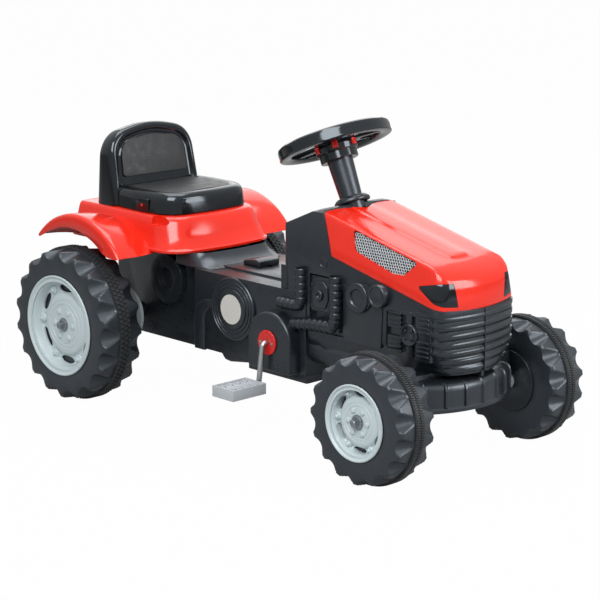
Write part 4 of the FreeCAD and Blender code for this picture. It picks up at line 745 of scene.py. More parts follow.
# %% [markdown]
# ## Rims
# The rims are pale grey mouldings: a thin outer lip, a dished ring, a floor with lens-shaped windows,
# six bosses with nuts, and a domed hub with fine ring steps and six studs.
# The round part is spun from its outline, the windows are cut with a boolean,
# and the bosses and studs are small spun shapes set round it.

# %% Rim outlines, as (radius, distance out from the wheel's middle) in mm
RIM_FACE = {
    "rear": [
        (98, 46), (98, 47.6), (97.2, 48.7), (95.6, 49), (94.2, 48.4), (92.8, 46.6), (84.5, 42), (81.6, 37),
        (79.8, 31), (78.2, 27.6), (75.6, 26), (66, 26), (63.4, 26.6), (61.8, 28), (60, 29.8), (57.6, 31.6),
        (54, 32.4), (48, 32.9), (47.3, 32.2), (46.3, 32.2), (45.6, 32.9), (39.4, 33.2), (38.6, 32.3),
        (37, 32.3), (36.2, 33.4), (15, 34), (6.2, 34),
    ],
    "front": [
        (66.5, 42), (66.5, 43.5), (65.8, 44.6), (64.4, 45), (63, 44.4), (61.8, 42.8), (56.8, 38.6),
        (54.8, 34), (53.6, 29), (52.6, 27), (51.2, 26), (47.2, 26), (45.8, 26.8), (44.6, 28.4), (43, 30.2),
        (40.6, 31.4), (37, 32.2), (34.4, 32.4), (33.8, 31.8), (33, 31.8), (32.4, 32.4), (27.6, 32.6),
        (27, 31.9), (25.8, 31.9), (25.2, 32.7), (14, 33), (6.2, 33),
    ],
}
RIM_BACK = {
    "rear": [
        (6.2, -120), (55, -120), (55, -114), (15, -114), (15, 23), (81.9, 23), (81.9, -46), (85.9, -46),
        (85.9, 46),
    ],
    "front": [(6.2, -42), (14, -42), (14, 23), (52.9, 23), (52.9, -30), (56.9, -30), (56.9, 42)],
}
RIM_WINDOW = {"rear": (70.5, 21.0, 7.6), "front": (49.4, 15.0, 6.0)}
RIM_BOSS = {"rear": (73.0, 8.6, 26.0), "front": (50.6, 6.4, 26.0)}
RIM_STUD = {"rear": (27.5, 6.6, 33.4), "front": (21.5, 5.4, 32.6)}
# Black sheets behind the rim windows, as (radius, distance out): painted shade for the dark hollow inside
# each wheel
RIM_SHADE_DISC = {
    "rear": [(16, 19), (81.5, 19), (81.5, 21), (16, 21)],
    "front": [(15, 19), (52.5, 19), (52.5, 21), (15, 21)],
}
RIM_COUNT = 6
WINDOW_REACH = (8.0, 32.0)
WINDOW_SIDES = 24
print("rim outlines:", {end: len(points) for end, points in RIM_FACE.items()})

# %% Rims on all four wheels


def rim_windows(end, centre, out):
    """The six lens-shaped cutters of a rim, as one piece."""
    radius, long, deep = RIM_WINDOW[end]
    steps = [math.tau * step / WINDOW_SIDES for step in range(WINDOW_SIDES)]
    lens = [(radius + deep * math.cos(step), long * math.sin(step)) for step in steps]
    cutters = []
    for number in range(RIM_COUNT):
        plane = turned_plane(centre, UP, FORWARD, out, math.tau * number / RIM_COUNT)
        cutters.append(plate("window_cutter", lens, *WINDOW_REACH, plane))
    return joined("window_cutters", cutters)


def rim_fittings(end, centre, out):
    """The bosses with their nuts, and the hub's studs."""
    fittings = []
    boss_r, boss_size, floor = RIM_BOSS[end]
    stud_r, stud_size, face = RIM_STUD[end]
    boss = [(0, 4), (boss_size * 0.8, 4), (boss_size, 2.8), (boss_size * 1.05, -1), (0, -1)]
    nut = [
        (0, 8.4), (boss_size * 0.34, 8), (boss_size * 0.58, 6.6), (boss_size * 0.64, 5),
        (boss_size * 0.64, 3), (0, 3),
    ]
    stud = [
        (0, 3.6), (stud_size * 0.5, 3.3), (stud_size * 0.85, 2.2), (stud_size, 0), (stud_size, -1), (0, -1),
    ]
    for number in range(RIM_COUNT):
        plane = turned_plane(centre, UP, FORWARD, out, math.tau * (number + 0.5) / RIM_COUNT)
        boss_at = plane(boss_r, 0, floor)
        stud_at = plane(stud_r, 0, face)
        fittings.append(spun("rim_boss", boss, boss_at, out, UP, 20, closed=False))
        fittings.append(spun("rim_nut", nut, boss_at, out, UP, 16, closed=False))
        fittings.append(spun("hub_stud", stud, stud_at, out, UP, 14, closed=False))
    return fittings


def dished_rim(end, side):
    """One rim with its windows, bosses and studs, in place."""
    centre, _, _ = wheel_place(end, side)
    out = LEFT * SIDES[side]
    body = spun(f"dished_{end}_rim_{side}", RIM_FACE[end] + RIM_BACK[end], centre, out, UP, 96)
    cut(body, rim_windows(end, centre, out))
    piece = joined(f"dished_{end}_rim_{side}", [body] + rim_fittings(end, centre, out))
    dress(piece, f"{end}_rim_{side}", 30)


def shade_sheet_behind_rim(end, side):
    """A black sheet behind a rim's windows: painted shade that stands for the dark hollow inside the wheel.
    """
    centre, _, _ = wheel_place(end, side)
    piece = spun(f"{end}_window_shade_{side}", RIM_SHADE_DISC[end], centre, LEFT * SIDES[side], UP, 48)
    dress(piece, f"{end}_tyre_{side}")


for end, side in ALL_WHEELS:
    dished_rim(end, side)
    # A black sheet of painted shade goes behind each rim's windows
    shade_sheet_behind_rim(end, side)

# %% [markdown]
# ## Axle caps
# A bright steel axle end stands out of each hub through a small washer.

# %% Axle caps
CAP_OUTLINE = [
    (0, 13.4), (5.0, 13.4), (6.6, 12.2), (8.0, 5.0), (10.4, 4.6), (12.0, 3.4), (12.6, 1.8), (13.4, 1.4),
    (13.4, 0.5), (0, 0.5),
]
HUB_FACE = {"rear": 34.0, "front": 33.0}


def axle_end(end, side):
    """One axle end with its washer, in place."""
    centre, _, _ = wheel_place(end, side)
    out = LEFT * SIDES[side]
    place = centre + out * HUB_FACE[end] * MM
    piece = spun(f"turned_{end}_axle_end_{side}", CAP_OUTLINE, place, out, UP, 32, closed=False)
    dress(piece, f"{end}_cap_{side}", 30)


for end, side in ALL_WHEELS:
    axle_end(end, side)

# %% [markdown]
# ## Hood
# The hood is one glossy shell. Seen from above its edge is a U: straight sides, rounded corners
# and a bowed front. Drawing that U again and again, each time further in and higher up,
# gives the rows of a sheet. Each row says how far in it lies, what share of the wall's height it has climbed
# and how far below the top line it is, first at the sides and then at the front.

# %% Hood lines
BODY_REAR = 452.0
BODY_LONG = 368.0
BODY_HALF = 105.0
BODY_TAPER = 5.0
HOOD_REAR = 546.0
HOOD_NOSE = 848.0
HOOD_BOW = 20.0
HOOD_HALF = 103.0
HOOD_FOOT = (584.0, 350.0)
HOOD_REAR_LEAN = 0.47
HOOD_FRONT_Z = 287.0
HOOD_TOP_Z = 425.0
HOOD_SLOPE = 0.242
HOOD_WALL = 3.0
COLLAR_X = 531.0
COLLAR_ROOM = 34.5
COLLAR_STRETCH = 1.095
HOOD_ROWS = [
    (0.6, 0.00, 4.0, 0.4, 0.00, 16.0), (0.2, 0.03, 4.0, 0.0, 0.03, 16.0), (5.0, 0.34, 4.0, 0.8, 0.36, 16.0),
    (9.6, 0.67, 4.0, 1.8, 0.70, 16.0), (13.2, 0.93, 4.0, 3.8, 0.92, 16.0), (14.6, 1.0, 4.2, 7.0, 1.0, 15.0),
    (16.4, 1.0, 2.5, 11.0, 1.0, 10.5), (19.0, 1.0, 1.5, 17.0, 1.0, 6.6), (24.0, 1.0, 0.9, 25.0, 1.0, 3.4),
    (36.0, 1.0, 0.5, 36.0, 1.0, 1.0), (55.0, 1.0, 0.2, 46.0, 1.0, 0.2), (75.0, 1.0, 0.0, 53.0, 1.0, 0.0),
    (76.0, 1.0, -0.2, 54.0, 1.0, -0.2), (78.6, 1.0, -2.8, 56.4, 1.0, -2.8),
    (79.8, 1.0, -3.1, 57.6, 1.0, -3.1), (99.0, 1.0, -3.4, 76.0, 1.0, -3.4),
    (102.9, 1.0, -3.4, 80.0, 1.0, -3.4),
]


def top_line(x):
    """Height of the hood's top line."""
    return HOOD_TOP_Z - HOOD_SLOPE * (x - HOOD_REAR)


def seam_line(x):
    """Height of the seam under the hood."""
    share = (x - HOOD_FOOT[0]) / (HOOD_NOSE - HOOD_FOOT[0])
    return HOOD_FOOT[1] + share * (HOOD_FRONT_Z - HOOD_FOOT[1])


def body_side(x):
    """Distance of the front body's side from the tractor's middle."""
    return BODY_HALF - BODY_TAPER * (x - BODY_REAR) / BODY_LONG


def body_half(x):
    """Half the width of the hood at a place along it."""
    return min(HOOD_HALF, body_side(x))


def hood_height(x, climb, drop):
    """Height on the hood: a share of the way up from the seam to a drop below the top line."""
    return seam_line(x) + climb * (top_line(x) - drop - seam_line(x))


print("hood top falls from", round(top_line(HOOD_REAR)), "to", round(top_line(HOOD_NOSE)), "mm")

# %% Hood rows
SIDE_STEPS = 22
BEND_STEPS = 6
FRONT_STEPS = 10
CORNER_ROUND = 26.0
CORNER_SHARE = 0.6


def row_start(inset, climb, drop):
    """Where a row begins: at the leaning rear edge, or at the steering collar's room."""
    x = HOOD_FOOT[0]
    for _ in range(20):
        x = HOOD_FOOT[0] - (hood_height(x, climb, drop) - HOOD_FOOT[1]) * HOOD_REAR_LEAN
    y = body_half(x) - inset
    if y < COLLAR_ROOM:
        x = max(x, COLLAR_X + math.sqrt(COLLAR_ROOM ** 2 - y ** 2) * COLLAR_STRETCH)
    return x


def u_curve(start, start_half, half, nose, bow, turn, side_steps):
    """Half a U seen from above, from its rear to the middle of its bowed front: (x, y, share of front)."""
    corner = nose - bow
    lean = math.atan2(half, 2 * bow)
    reach = turn * math.tan(lean / 2)
    places = []
    for step in range(side_steps):
        share = step / side_steps
        x = start + (corner - reach - start) * share
        places.append((x, start_half + (half - start_half) * share, 0.0))
    for step in range(BEND_STEPS):
        angle = lean * step / BEND_STEPS
        x = corner - reach + turn * math.sin(angle)
        places.append((x, half - turn * (1 - math.cos(angle)), step / BEND_STEPS))
    edge = half - turn * (1 - math.cos(lean))
    for step in range(FRONT_STEPS + 1):
        y = edge * (1 - step / FRONT_STEPS)
        places.append((nose - bow * (y / half) ** 2, y, 1.0))
    return places


def both_sides(places):
    """A right half as points on both sides, from the right rear round to the left rear."""
    right = [spot(x, -y, z) for x, y, z in places]
    return right + [spot(x, y, z) for x, y, z in reversed(places[:-1])]


def hood_row(row):
    """One U of the hood from the right rear to the left rear, as places."""
    inset, climb, drop, front_inset, front_climb, front_drop = row
    half = body_half(HOOD_NOSE - HOOD_BOW) - inset * (body_half(HOOD_NOSE) / HOOD_HALF)
    start = row_start(inset, climb, drop)
    turn = min(CORNER_ROUND, half * CORNER_SHARE)
    bow = HOOD_BOW * (half / HOOD_HALF) ** 2
    nose = HOOD_NOSE - front_inset
    places = []
    for x, y, front in u_curve(start, body_half(start) - inset, half, nose, bow, turn, SIDE_STEPS):
        side_z = hood_height(x, climb, drop)
        front_z = hood_height(x, front_climb, front_drop)
        places.append((x, y, side_z + front * (front_z - side_z)))
    return both_sides(places)


def face_up(piece):
    """Turns a sheet over if its faces look down."""
    if sum(face.normal.z * face.area for face in piece.data.polygons) < 0:
        edit_all(piece, (bpy.ops.mesh.flip_normals, {}))


def thicken(piece, wall_mm):
    """Gives a sheet a wall, inwards from its outer face."""
    modify(piece, "SOLIDIFY", thickness=wall_mm * MM, offset=-1)


hood = sheet("glossy_hood", [hood_row(row) for row in HOOD_ROWS])
face_up(hood)
thicken(hood, HOOD_WALL)
print(hood.name, len(hood.data.polygons), "faces")

# %% [markdown]
# ## Headlights and side meshes
# The lamps are pieces of the same surface in another plastic, so each is a copy of the hood kept only inside
# the lamp's outline. The mesh window is cut the same way and filled with a lattice of small hexagon rings
# over a dark backing.

# %% Windows in the hood
LAMP_OUTLINE = rounded_outline([
    (779, 327, 3), (825, 336, 3), (894, 336, 0), (894, 288, 0), (845, 293, 3), (820, 302, 4),
])
MESH_OUTLINE = rounded_outline([(622, 402, 4), (775, 364, 4), (748, 340, 7), (722, 340, 8), (634, 366, 6)])
LAMP_INNER = 65.0
LAMP_SLANT = 0.17
LAMP_TOP = 336.0
LAMP_GAP = 0.5
BEYOND = 140.0


def lamp_plane(side):
    """A drawing plane on the tractor's side whose inner edge leans in towards its foot."""
    flat = side_plane(side)
    return lambda x, z, out: flat(x, z, out - LAMP_SLANT * (LAMP_TOP - z))


def shrunk(outline, gap):
    """An outline drawn in towards its middle by a gap."""
    u_middle = sum(u for u, _ in outline) / len(outline)
    v_middle = sum(v for _, v in outline) / len(outline)
    return [(u - math.copysign(gap, u - u_middle), v - math.copysign(gap, v - v_middle)) for u, v in outline]


lamp_glass = shrunk(LAMP_OUTLINE, LAMP_GAP)
for side in SIDES:
    lamp = copy_of(f"clear_headlight_{side}", hood)
    lamp_room = plate("lamp_room", lamp_glass, LAMP_INNER + LAMP_GAP, BEYOND, lamp_plane(side))
    cut(lamp, lamp_room, "INTERSECT")
    round_edges(lamp, 0.8, 2, 40)
    dress(lamp, f"headlight_{side}", 35)
for side in SIDES:
    cut(hood, plate("lamp_room", LAMP_OUTLINE, LAMP_INNER, BEYOND, lamp_plane(side)))
    cut(hood, plate("mesh_room", MESH_OUTLINE, LAMP_INNER, BEYOND, side_plane(side)))
dress(hood, "hood", 35)

# %% Side meshes
MESH_PITCH = 5.4
MESH_HOLE = 0.7991
MESH_SINK = 1.6
MESH_DEEP = 1.4
MESH_BACKING = 3.1
MESH_EDGE = -1.6
MESH_MIDDLE = (700, 366)
ROW_RISE = 0.866
SIDE_LEAN = 14.2
SIDE_DROP = 4.0


def hood_side(side, x, z, sink):
    """A place on the hood's leaning side, sunk in by some millimetres."""
    climb = (z - seam_line(x)) / (top_line(x) - SIDE_DROP - seam_line(x))
    return spot(x, SIDES[side] * (body_half(x) - SIDE_LEAN * climb - sink), z)


def inside(outline, u, v):
    """Whether a point lies inside an outline."""
    hit = False
    for (u1, v1), (u2, v2) in zip(outline, outline[1:] + outline[:1]):
        if (v1 > v) != (v2 > v) and u < u1 + (v - v1) * (u2 - u1) / (v2 - v1):
            hit = not hit
    return hit


def hexagon_ring(side, x, z):
    """One cell of the mesh: a hexagon with a hole, whose inner wall goes in."""
    turns = [math.tau * step / 6 for step in range(7)]
    rows = []
    for share, sink in ((1.0, 0.0), (MESH_HOLE, 0.0), (MESH_HOLE, MESH_DEEP)):
        size = share * MESH_PITCH / math.sqrt(3)
        places = [(x + size * math.cos(turn), z + size * math.sin(turn)) for turn in turns]
        rows.append([hood_side(side, *place, MESH_SINK + sink) for place in places])
    return sheet("mesh_cell", rows)


def mesh_cells():
    """Middles of the lattice cells that lie inside the mesh's outline."""
    inner = shrunk(MESH_OUTLINE, MESH_EDGE)
    cells = []
    for row in range(-8, 9):
        for column in range(-16, 17):
            x = MESH_MIDDLE[0] + MESH_PITCH * (column + 0.5 * (row % 2))
            z = MESH_MIDDLE[1] + MESH_PITCH * ROW_RISE * row
            if inside(inner, x, z):
                cells.append((x, z))
    return cells


for side in SIDES:
    lattice = joined(f"side_mesh_{side}", [hexagon_ring(side, x, z) for x, z in mesh_cells()])
    tidy_normals(lattice, 0.05)
    dress(lattice, f"hood_grille_{side}")
    edge = [hood_side(side, x, z, MESH_BACKING) for x, z in MESH_OUTLINE]
    backing = flat_face(f"mesh_backing_{side}", edge)
    dress(backing, f"hood_grille_{side}", finish=finish_of_slot["black_gloss"])

# %% [markdown]
# ## Seat
# The seat is a glossy black shell with a thick rounded back. A matt grained pad lies in the back
# and in the pan. Pan and back are lofts: the same outline again and again, drawn in and set back,
# so that the rim, the groove and the pad's bed follow one another. The pads are plates with rounded edges.

# %% Seat shell
SEAT_LEAN = math.atan2(20, 116)
SEAT_FOOT = (-16.0, 402.0)
PAN_TOP = 403.0
PAN_REAR = -76.0
PAN_FRONT = 159.0
PAN_WIDEST = 40.0
PAN_HALF = 110.0
PAN_REAR_HALF = 100.0
PAN_BOW = 9.0
PAN_DRAW = 3.0
PAN_ROWS = [
    (364.0, 6.0), (362.4, 1.2), (364.5, 0.0), (384.0, 2.2), (392.0, 3.4), (397.0, 5.4), (400.6, 8.6),
    (402.6, 13.0), (403.2, 18.0), (402.4, 22.0), (400.6, 26.0), (399.6, 31.0), (399.2, 60.0), (399.2, 96.0),
]


def loft(name, ring, rows):
    """A sheet through plan outlines at the heights and insets of some rows."""
    places = []
    for z, inset in rows:
        outline = ring(inset)
        places.append([spot(x, y, z) for x, y in outline + outline[:1]])
    return sheet(name, places)


def pan_ring(inset):
    """The seat pan's plan outline, drawn in by an inset."""
    turn = max(50 - inset * 0.5, 6)
    side = PAN_HALF - inset
    front = PAN_FRONT - inset
    return rounded_outline(mirrored([
        (PAN_REAR + inset, inset - PAN_REAR_HALF, max(26 - inset, 2)), (PAN_WIDEST, -side, 60),
        (front - PAN_BOW, PAN_DRAW - side, turn), (front, 0, 380),
    ]))


pan = close_ends(loft("seat_pan", pan_ring, PAN_ROWS))
print("seat pan rows:", len(PAN_ROWS))

# %% Seat back
BACK_TALL = 120.0
BACK_FLARE = 0.66
BACK_DEPTH = 38.0
BACK_FOOT_HALF = 112.0
BACK_TOP_HALF = 104.0
BACK_ROWS = [
    (-35.0, 60.0), (-35.0, 14.0), (-34.4, 9.0), (-32.0, 4.0), (-28.0, 1.0), (-22.0, 0.0), (-9.0, 0.0),
    (-4.0, 1.0), (-1.0, 3.4), (0.6, 7.0), (0.8, 10.5), (-0.4, 13.5), (-2.6, 15.2), (-3.4, 17.0),
    (-3.4, 21.0), (-2.0, 23.0), (-1.8, 60.0),
]
SIDE_BOX = box_outline((53, 89), (366, 389), 2, 4)
SIDE_BOX_FACE = 110.8


def seat_back_plane(y, v, out):
    """The backrest's front face as a drawing plane: y to the left, v up along it, out to the front."""
    x = SEAT_FOOT[0] - v * math.sin(SEAT_LEAN) + out * math.cos(SEAT_LEAN)
    z = SEAT_FOOT[1] + v * math.cos(SEAT_LEAN) + out * math.sin(SEAT_LEAN)
    return spot(x, y, z)


def back_ring(inset):
    """The backrest's outline drawn in by an inset, open to the pan below."""
    foot = BACK_FOOT_HALF - inset
    side = BACK_TOP_HALF - inset
    top = BACK_TALL - inset
    turn = max(52 - inset * 0.7, 8)
    return rounded_outline([
        (-foot, -BACK_DEPTH, 1), (foot, -BACK_DEPTH, 1), (side, top - 19, turn), (0, top + 3, 240),
        (-side, top - 19, turn),
    ], 8)


def leaning_row(outline, out):
    """An outline in the backrest's plane, ended where it began; the backrest is thicker at its foot."""
    places = []
    for y, v in outline + outline[:1]:
        places.append(seat_back_plane(y, v, out * (1 + BACK_FLARE * (BACK_TALL - v) / BACK_TALL)))
    return places


back = close_ends(sheet("seat_back", [leaning_row(back_ring(inset), out) for out, inset in BACK_ROWS]))
seat_parts = [pan, back]
for side in SIDES:
    seat_parts += side_plates(side, [("seat_side_box", SIDE_BOX, 100, SIDE_BOX_FACE, 1.2)])
dress(joined("glossy_seat", seat_parts), "seat", 35)

# %% Seat pads
pan_pad_outline = rounded_outline(mirrored([
    (-10, -84, 12), (112, -88, 26), (134, -54, 22), (122, -22, 18),
]))
pan_pad = plate("grained_pan_pad", pan_pad_outline, PAN_TOP - 6.0, PAN_TOP - 1.6, spot, 1.6)
dress(pan_pad, "seat", 32, grained_black)
back_pad_outline = rounded_outline([
    (-82, 14, 8), (82, 14, 8), (79, 84, 34), (0, 94, 120), (-79, 84, 34),
], 8)
back_pad = plate("grained_back_pad", back_pad_outline, -3.0, 0.4, seat_back_plane, 1.2)
dress(back_pad, "seat", 32, grained_black)
PLUG_OUTLINE = [(0, 0.8), (2.4, 0.6), (3.2, 0), (3.2, -1), (0, -1)]
plugs = []
for side in SIDES:
    place = spot(70, SIDES[side] * SIDE_BOX_FACE, 376)
    plugs.append(spun("seat_plug", PLUG_OUTLINE, place, LEFT * SIDES[side], UP, 16, closed=False))
dress(joined("red_seat_plugs", plugs), "seat", finish=finish_of_slot["red_trim"])

# %% [markdown]
# ## Seat base and fenders
# The red base is one moulding: a flared bowl, upside down, with a lip along its foot, and an arched fender
# at each side whose edge turns down. The bowl is a loft of plan outlines;
# a fender is one section turned about the wheel arch.

# %% Seat base
BASE_ROWS = [
    (301.0, 4.0), (296.4, 3.0), (295.2, 1.2), (296.4, -0.6), (300.6, -0.8), (302.4, 0.6), (304.4, 2.2),
    (330.0, 8.6), (352.0, 13.6), (357.4, 15.4), (360.6, 18.0), (361.8, 22.0), (362.0, 30.0), (362.0, 100.0),
]
BASE_HALF = 134.0
BASE_FRONT = 202.0
BASE_BOW = 15.0
BASE_REAR = -124.0
BASE_TAPER = 1.7
BASE_REAR_TAPER = 0.3
NOTCH = rounded_outline([(112, 342, 4), (150, 346, 6), (150, 370, 1), (112, 370, 1)], 4)


def base_ring(inset):
    """The seat base's plan outline; its front leans back more than its sides."""
    side = BASE_HALF - inset
    front = BASE_FRONT - inset * BASE_TAPER
    return rounded_outline(mirrored([
        (BASE_REAR + inset * BASE_REAR_TAPER, -side, 9), (front - BASE_BOW, -side, 56), (front, 0, 420),
    ]), 10)


bowl = close_ends(loft("seat_bowl", base_ring, BASE_ROWS))
for side in SIDES:
    cut(bowl, plate("notch_cutter", NOTCH, 108, 140, side_plane(side), 3.0))
print(bowl.name, len(bowl.data.polygons), "faces")

# %% Fenders
FENDER_MIDDLE = (5.0, 199.5)
FENDER_R = 163.0
FENDER_TURNS = (137.0, 35.6)
FENDER_STEPS = 60
FENDER_FOOT = 292.6
FENDER_TOP = [
    (112, -14), (122, -13.6), (130, -12.6), (140, -10), (160, -5.4), (180, -2.4), (200, -0.8), (214, 0),
    (220, -0.6), (223.6, -2.8), (225, -6),
]
FENDER_UNDER = [
    (222, -9), (219, -5.4), (214, -4), (200, -4.8), (180, -6.4), (160, -9.4), (140, -14), (112, -18),
]
SKIRT_EDGE = [(225, 1), (224.2, 0), (222.8, 0), (222, 1)]
SKIRT_DROPS = [
    (137, 8), (133, 12.6), (118, 20.7), (95.5, 27), (74.4, 32.5), (50.6, 33.7), (45, 29), (40.8, 21.6),
    (35.6, 7),
]


def skirt_drop(degrees):
    """How far the fender's edge turns down at a place on its arch."""
    for (first, tall), (second, next_tall) in zip(SKIRT_DROPS, SKIRT_DROPS[1:]):
        if degrees >= second:
            return tall + (next_tall - tall) * (first - degrees) / (first - second)
    return SKIRT_DROPS[-1][1]


def fender(side):
    """One fender: a section of (distance out, rise) turned about the wheel arch, closed at both ends."""
    rows = []
    for step in range(FENDER_STEPS + 1):
        degrees = FENDER_TURNS[0] + (FENDER_TURNS[1] - FENDER_TURNS[0]) * step / FENDER_STEPS
        turn = math.radians(degrees)
        drop = skirt_drop(degrees)
        section = FENDER_TOP + [(y, rise - drop) for y, rise in SKIRT_EDGE] + FENDER_UNDER
        row = []
        for y, rise in section + section[:1]:
            r = FENDER_R + rise
            x, z = FENDER_MIDDLE[0] + r * math.cos(turn), FENDER_MIDDLE[1] + r * math.sin(turn)
            row.append(spot(x, SIDES[side] * y, max(z, FENDER_FOOT)))
        rows.append(row)
    return close_ends(sheet("fender", rows))


seat_base = joined("glossy_seat_base", [bowl] + [fender(side) for side in SIDES])
dress(seat_base, "seat_base", 40)

# %% [markdown]
# ## Steering wheel
# A thick ring with a flat outer wall, three spokes with cut-outs and a stepped hub. Ring and hub are spun
# about the tilted column; a spoke is a plate with a rounded window, made once for each direction.
# Red tabs lock the hub.

# %% Steering wheel
STEER_TILT = math.radians(24)
STEER_UP = Vector((-math.sin(STEER_TILT), 0, math.cos(STEER_TILT)))
STEER_AHEAD = Vector((math.cos(STEER_TILT), 0, math.sin(STEER_TILT)))
WHEEL_RISE = 117.0
wheel_middle = spot(533, 0, 425) + STEER_UP * WHEEL_RISE * MM
RING_OUTLINE = [
    (81, -3), (83, -8), (88, -11), (99, -11.5), (104, -10.5), (105, -9), (104.2, -6), (104.6, 4), (103, 9.5),
    (99, 12), (92, 12), (86, 9), (82, 3),
]
HUB_OUTLINE = [
    (24, -36), (34, -36), (34.8, -35), (34.8, -22), (37, -20), (38, -12), (39, -4), (38, 2), (36, 5),
    (30, 7.5), (27.6, 8), (27.6, -11), (5.2, -11), (5.2, -20), (24, -20),
]
SPOKE_TURNS = (180, 300, 60)
SPOKE = [(30, -20), (90, -26), (90, 26), (30, 20)]
SPOKE_HOLE = rounded_outline([(48, -9, 4), (80, -16, 6), (80, 16, 6), (48, 9, 4)])
parts = [
    spun("wheel_ring", RING_OUTLINE, wheel_middle, STEER_UP, LEFT, 96),
    spun("wheel_hub", HUB_OUTLINE, wheel_middle, STEER_UP, LEFT, 48),
]
for degrees in SPOKE_TURNS:
    plane = turned_plane(wheel_middle, STEER_AHEAD, LEFT, STEER_UP, math.radians(degrees))
    spoke = plate("wheel_spoke", SPOKE, -6.3, 2.7, plane, 1.2)
    cut(spoke, plate("spoke_hole", SPOKE_HOLE, -12, 12, plane))
    parts.append(spoke)
dress(joined("moulded_steering_wheel", parts), "steering_wheel", 32)

# %% Red tabs on the hub
TAB_COUNT = 6
TAB_FIRST = math.radians(-46)
tab_outline = rounded_outline([(36.5, -5.5, 1), (41.5, -5, 1), (41.5, 5, 1), (36.5, 5.5, 1)], 3)
tabs = []
for number in range(TAB_COUNT):
    turn = TAB_FIRST + math.tau * number / TAB_COUNT
    plane = turned_plane(wheel_middle, STEER_AHEAD, LEFT, STEER_UP, turn)
    tabs.append(plate("hub_tab", tab_outline, -17, -6, plane, 0.8, 2))
dress(joined("red_hub_tabs", tabs), "steering_wheel", 32, finish_of_slot["red_trim"])

# %% [markdown]
# ## Softened mouldings
# No moulded edge is sharp: plastic shrinks into a small round at every corner. The solid model's own mesh
# is copied, its triangles are merged back to flat faces, and a bevel by angle gives each edge its round.

# %% Softening a solid's edges


def soft_copy(node, round_mm, segments=3, angle=28):
    """A copy of a solid with its edges rounded."""
    piece = copy_of("soft_" + node, frame["nodes"][node])
    edit_all(
        piece,
        (bpy.ops.mesh.remove_doubles, {"threshold": 0.01 * MM}),
        (bpy.ops.mesh.dissolve_limited, {"angle_limit": math.radians(1.5)}),
    )
    round_edges(piece, round_mm, segments, angle)
    return piece


EDGE_ROUNDS = {
    "chain_guard": 5.0, "steering_column": 1.5, "steering_collar": 2.0, "horn_button": 2.0,
    "crank_bush_left": 1.2, "crank_bush_right": 1.2, "selector_knob": 2.0, "pedal_left": 0.8,
    "pedal_right": 0.8, "knuckle_left": 0.8, "knuckle_right": 0.8, "tie_rod": 0.8,
    "front_inner_disc_left": 1.0, "front_inner_disc_right": 1.0, "dash_panel": 0.6,
}
for node, round_mm in EDGE_ROUNDS.items():
    dress(soft_copy(node, round_mm), node, 35)

# %% [markdown]
# ## Chassis
# The chassis is a blow moulding too. A ramp rounds off the step between deck and seat base, and shallow ribs,
# an arched band, a foot and a round crank boss stiffen each side.
# They are plates and lofts joined to the softened solid.

# %% Chassis relief
RAMP_ROWS = [(272, 0), (274, 0), (275.5, 5), (279, 14), (285, 25), (292, 33), (298, 37)]
RAMP_REAR = 150.0
RAMP_FRONT = 262.0
RAMP_BOW = 8.0
RAMP_HALF = 98.0
RAMP_TAPER = 0.12
ARCH_BAND = rounded_outline([
    (217, 119, 2), (217, 184, 14), (226, 208, 22), (248, 220, 18), (278, 221, 2), (278, 207, 2),
    (256, 201, 16), (246, 184, 14), (246, 119, 2),
])
CRANK_BOSS = rounded_outline([(394, 122, 6), (506, 122, 6), (506, 232, 55), (394, 232, 55)], 14)
BOSS_ROOM = [(388, 116), (512, 116), (512, 238), (388, 238)]
LOW_FOOT = rounded_outline([(281, 126, 3), (296, 110, 5), (312, 108, 4), (368, 116, 3), (368, 126, 2)])
CHASSIS_PLATES = [
    ("arched_band", ARCH_BAND, 100, 107.4, 2.0),
    ("low_foot", LOW_FOOT, 40, 100, 3.0),
    ("crank_boss", CRANK_BOSS, 90, 132, 11.0, 5),
    ("upright_rib", box_outline((203, 207), (126, 262), 1, 2), 60, 90, 1.2),
    ("upright_rib", box_outline((211, 215), (126, 262), 1, 2), 60, 90, 1.2),
]


def ramp_ring(inset):
    """The ramp's plan outline, drawn in at its front."""
    front = RAMP_FRONT - inset
    half = RAMP_HALF - inset * RAMP_TAPER
    return rounded_outline(mirrored([
        (RAMP_REAR, -half, 6), (front - RAMP_BOW, -half, 34), (front, 0, 300),
    ]))


chassis_shell = soft_copy("rear_chassis", 3.0)
for side in SIDES:
    cut(chassis_shell, plate("boss_cutter", BOSS_ROOM, 106, 140, side_plane(side)))
chassis_parts = [chassis_shell, loft("deck_ramp", ramp_ring, RAMP_ROWS)]
for side in SIDES:
    chassis_parts += side_plates(side, CHASSIS_PLATES)
dress(joined("moulded_chassis", chassis_parts), "rear_chassis", 35)

# %% Side covers
COVER_RINGS = [
    (1.0, 0.0), (1.0, 3.2), (0.975, 4.8), (0.93, 5.0), (0.915, 3.8), (0.88, 3.8), (0.865, 5.2), (0.82, 5.4),
    (0.805, 4.0), (0.765, 4.0), (0.75, 5.6), (0.70, 5.8), (0.685, 4.4), (0.645, 4.4), (0.625, 6.6),
    (0.58, 7.0), (0.0, 7.0),
]
for side in SIDES:
    low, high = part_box(f"side_cover_{side}")
    middle = (low + high) / 2
    middle.y = SIDES[side] * min(abs(low.y), abs(high.y))
    radius = (high.z - low.z) / 2 / MM
    rings = [(radius * share, out) for share, out in COVER_RINGS]
    cover = spun(f"ringed_cover_{side}", rings, middle, LEFT * SIDES[side], UP, 72, closed=False)
    dress(cover, f"side_cover_{side}", 30)

# %% [markdown]
# ## Engine side
# The front body is one blow moulding with a toy engine drawn in relief on both sides: ribbed hoses,
# a bolted cover, two pulleys, an alternator and stacks of fins. Each detail is a small plate or spun shape
# set on the side, then all are joined to the softened body.
# A hose is a string of circles that swell and shrink along a path.

# %% Hoses
HOSE_RIB_PITCH = 13.0
HOSE_GROOVE = 1.3
GROOVE_SHARPNESS = 6
HOSE_SIDES = 20
HOSE_STEP = 1.25
HOSE_SOFTENING = 14


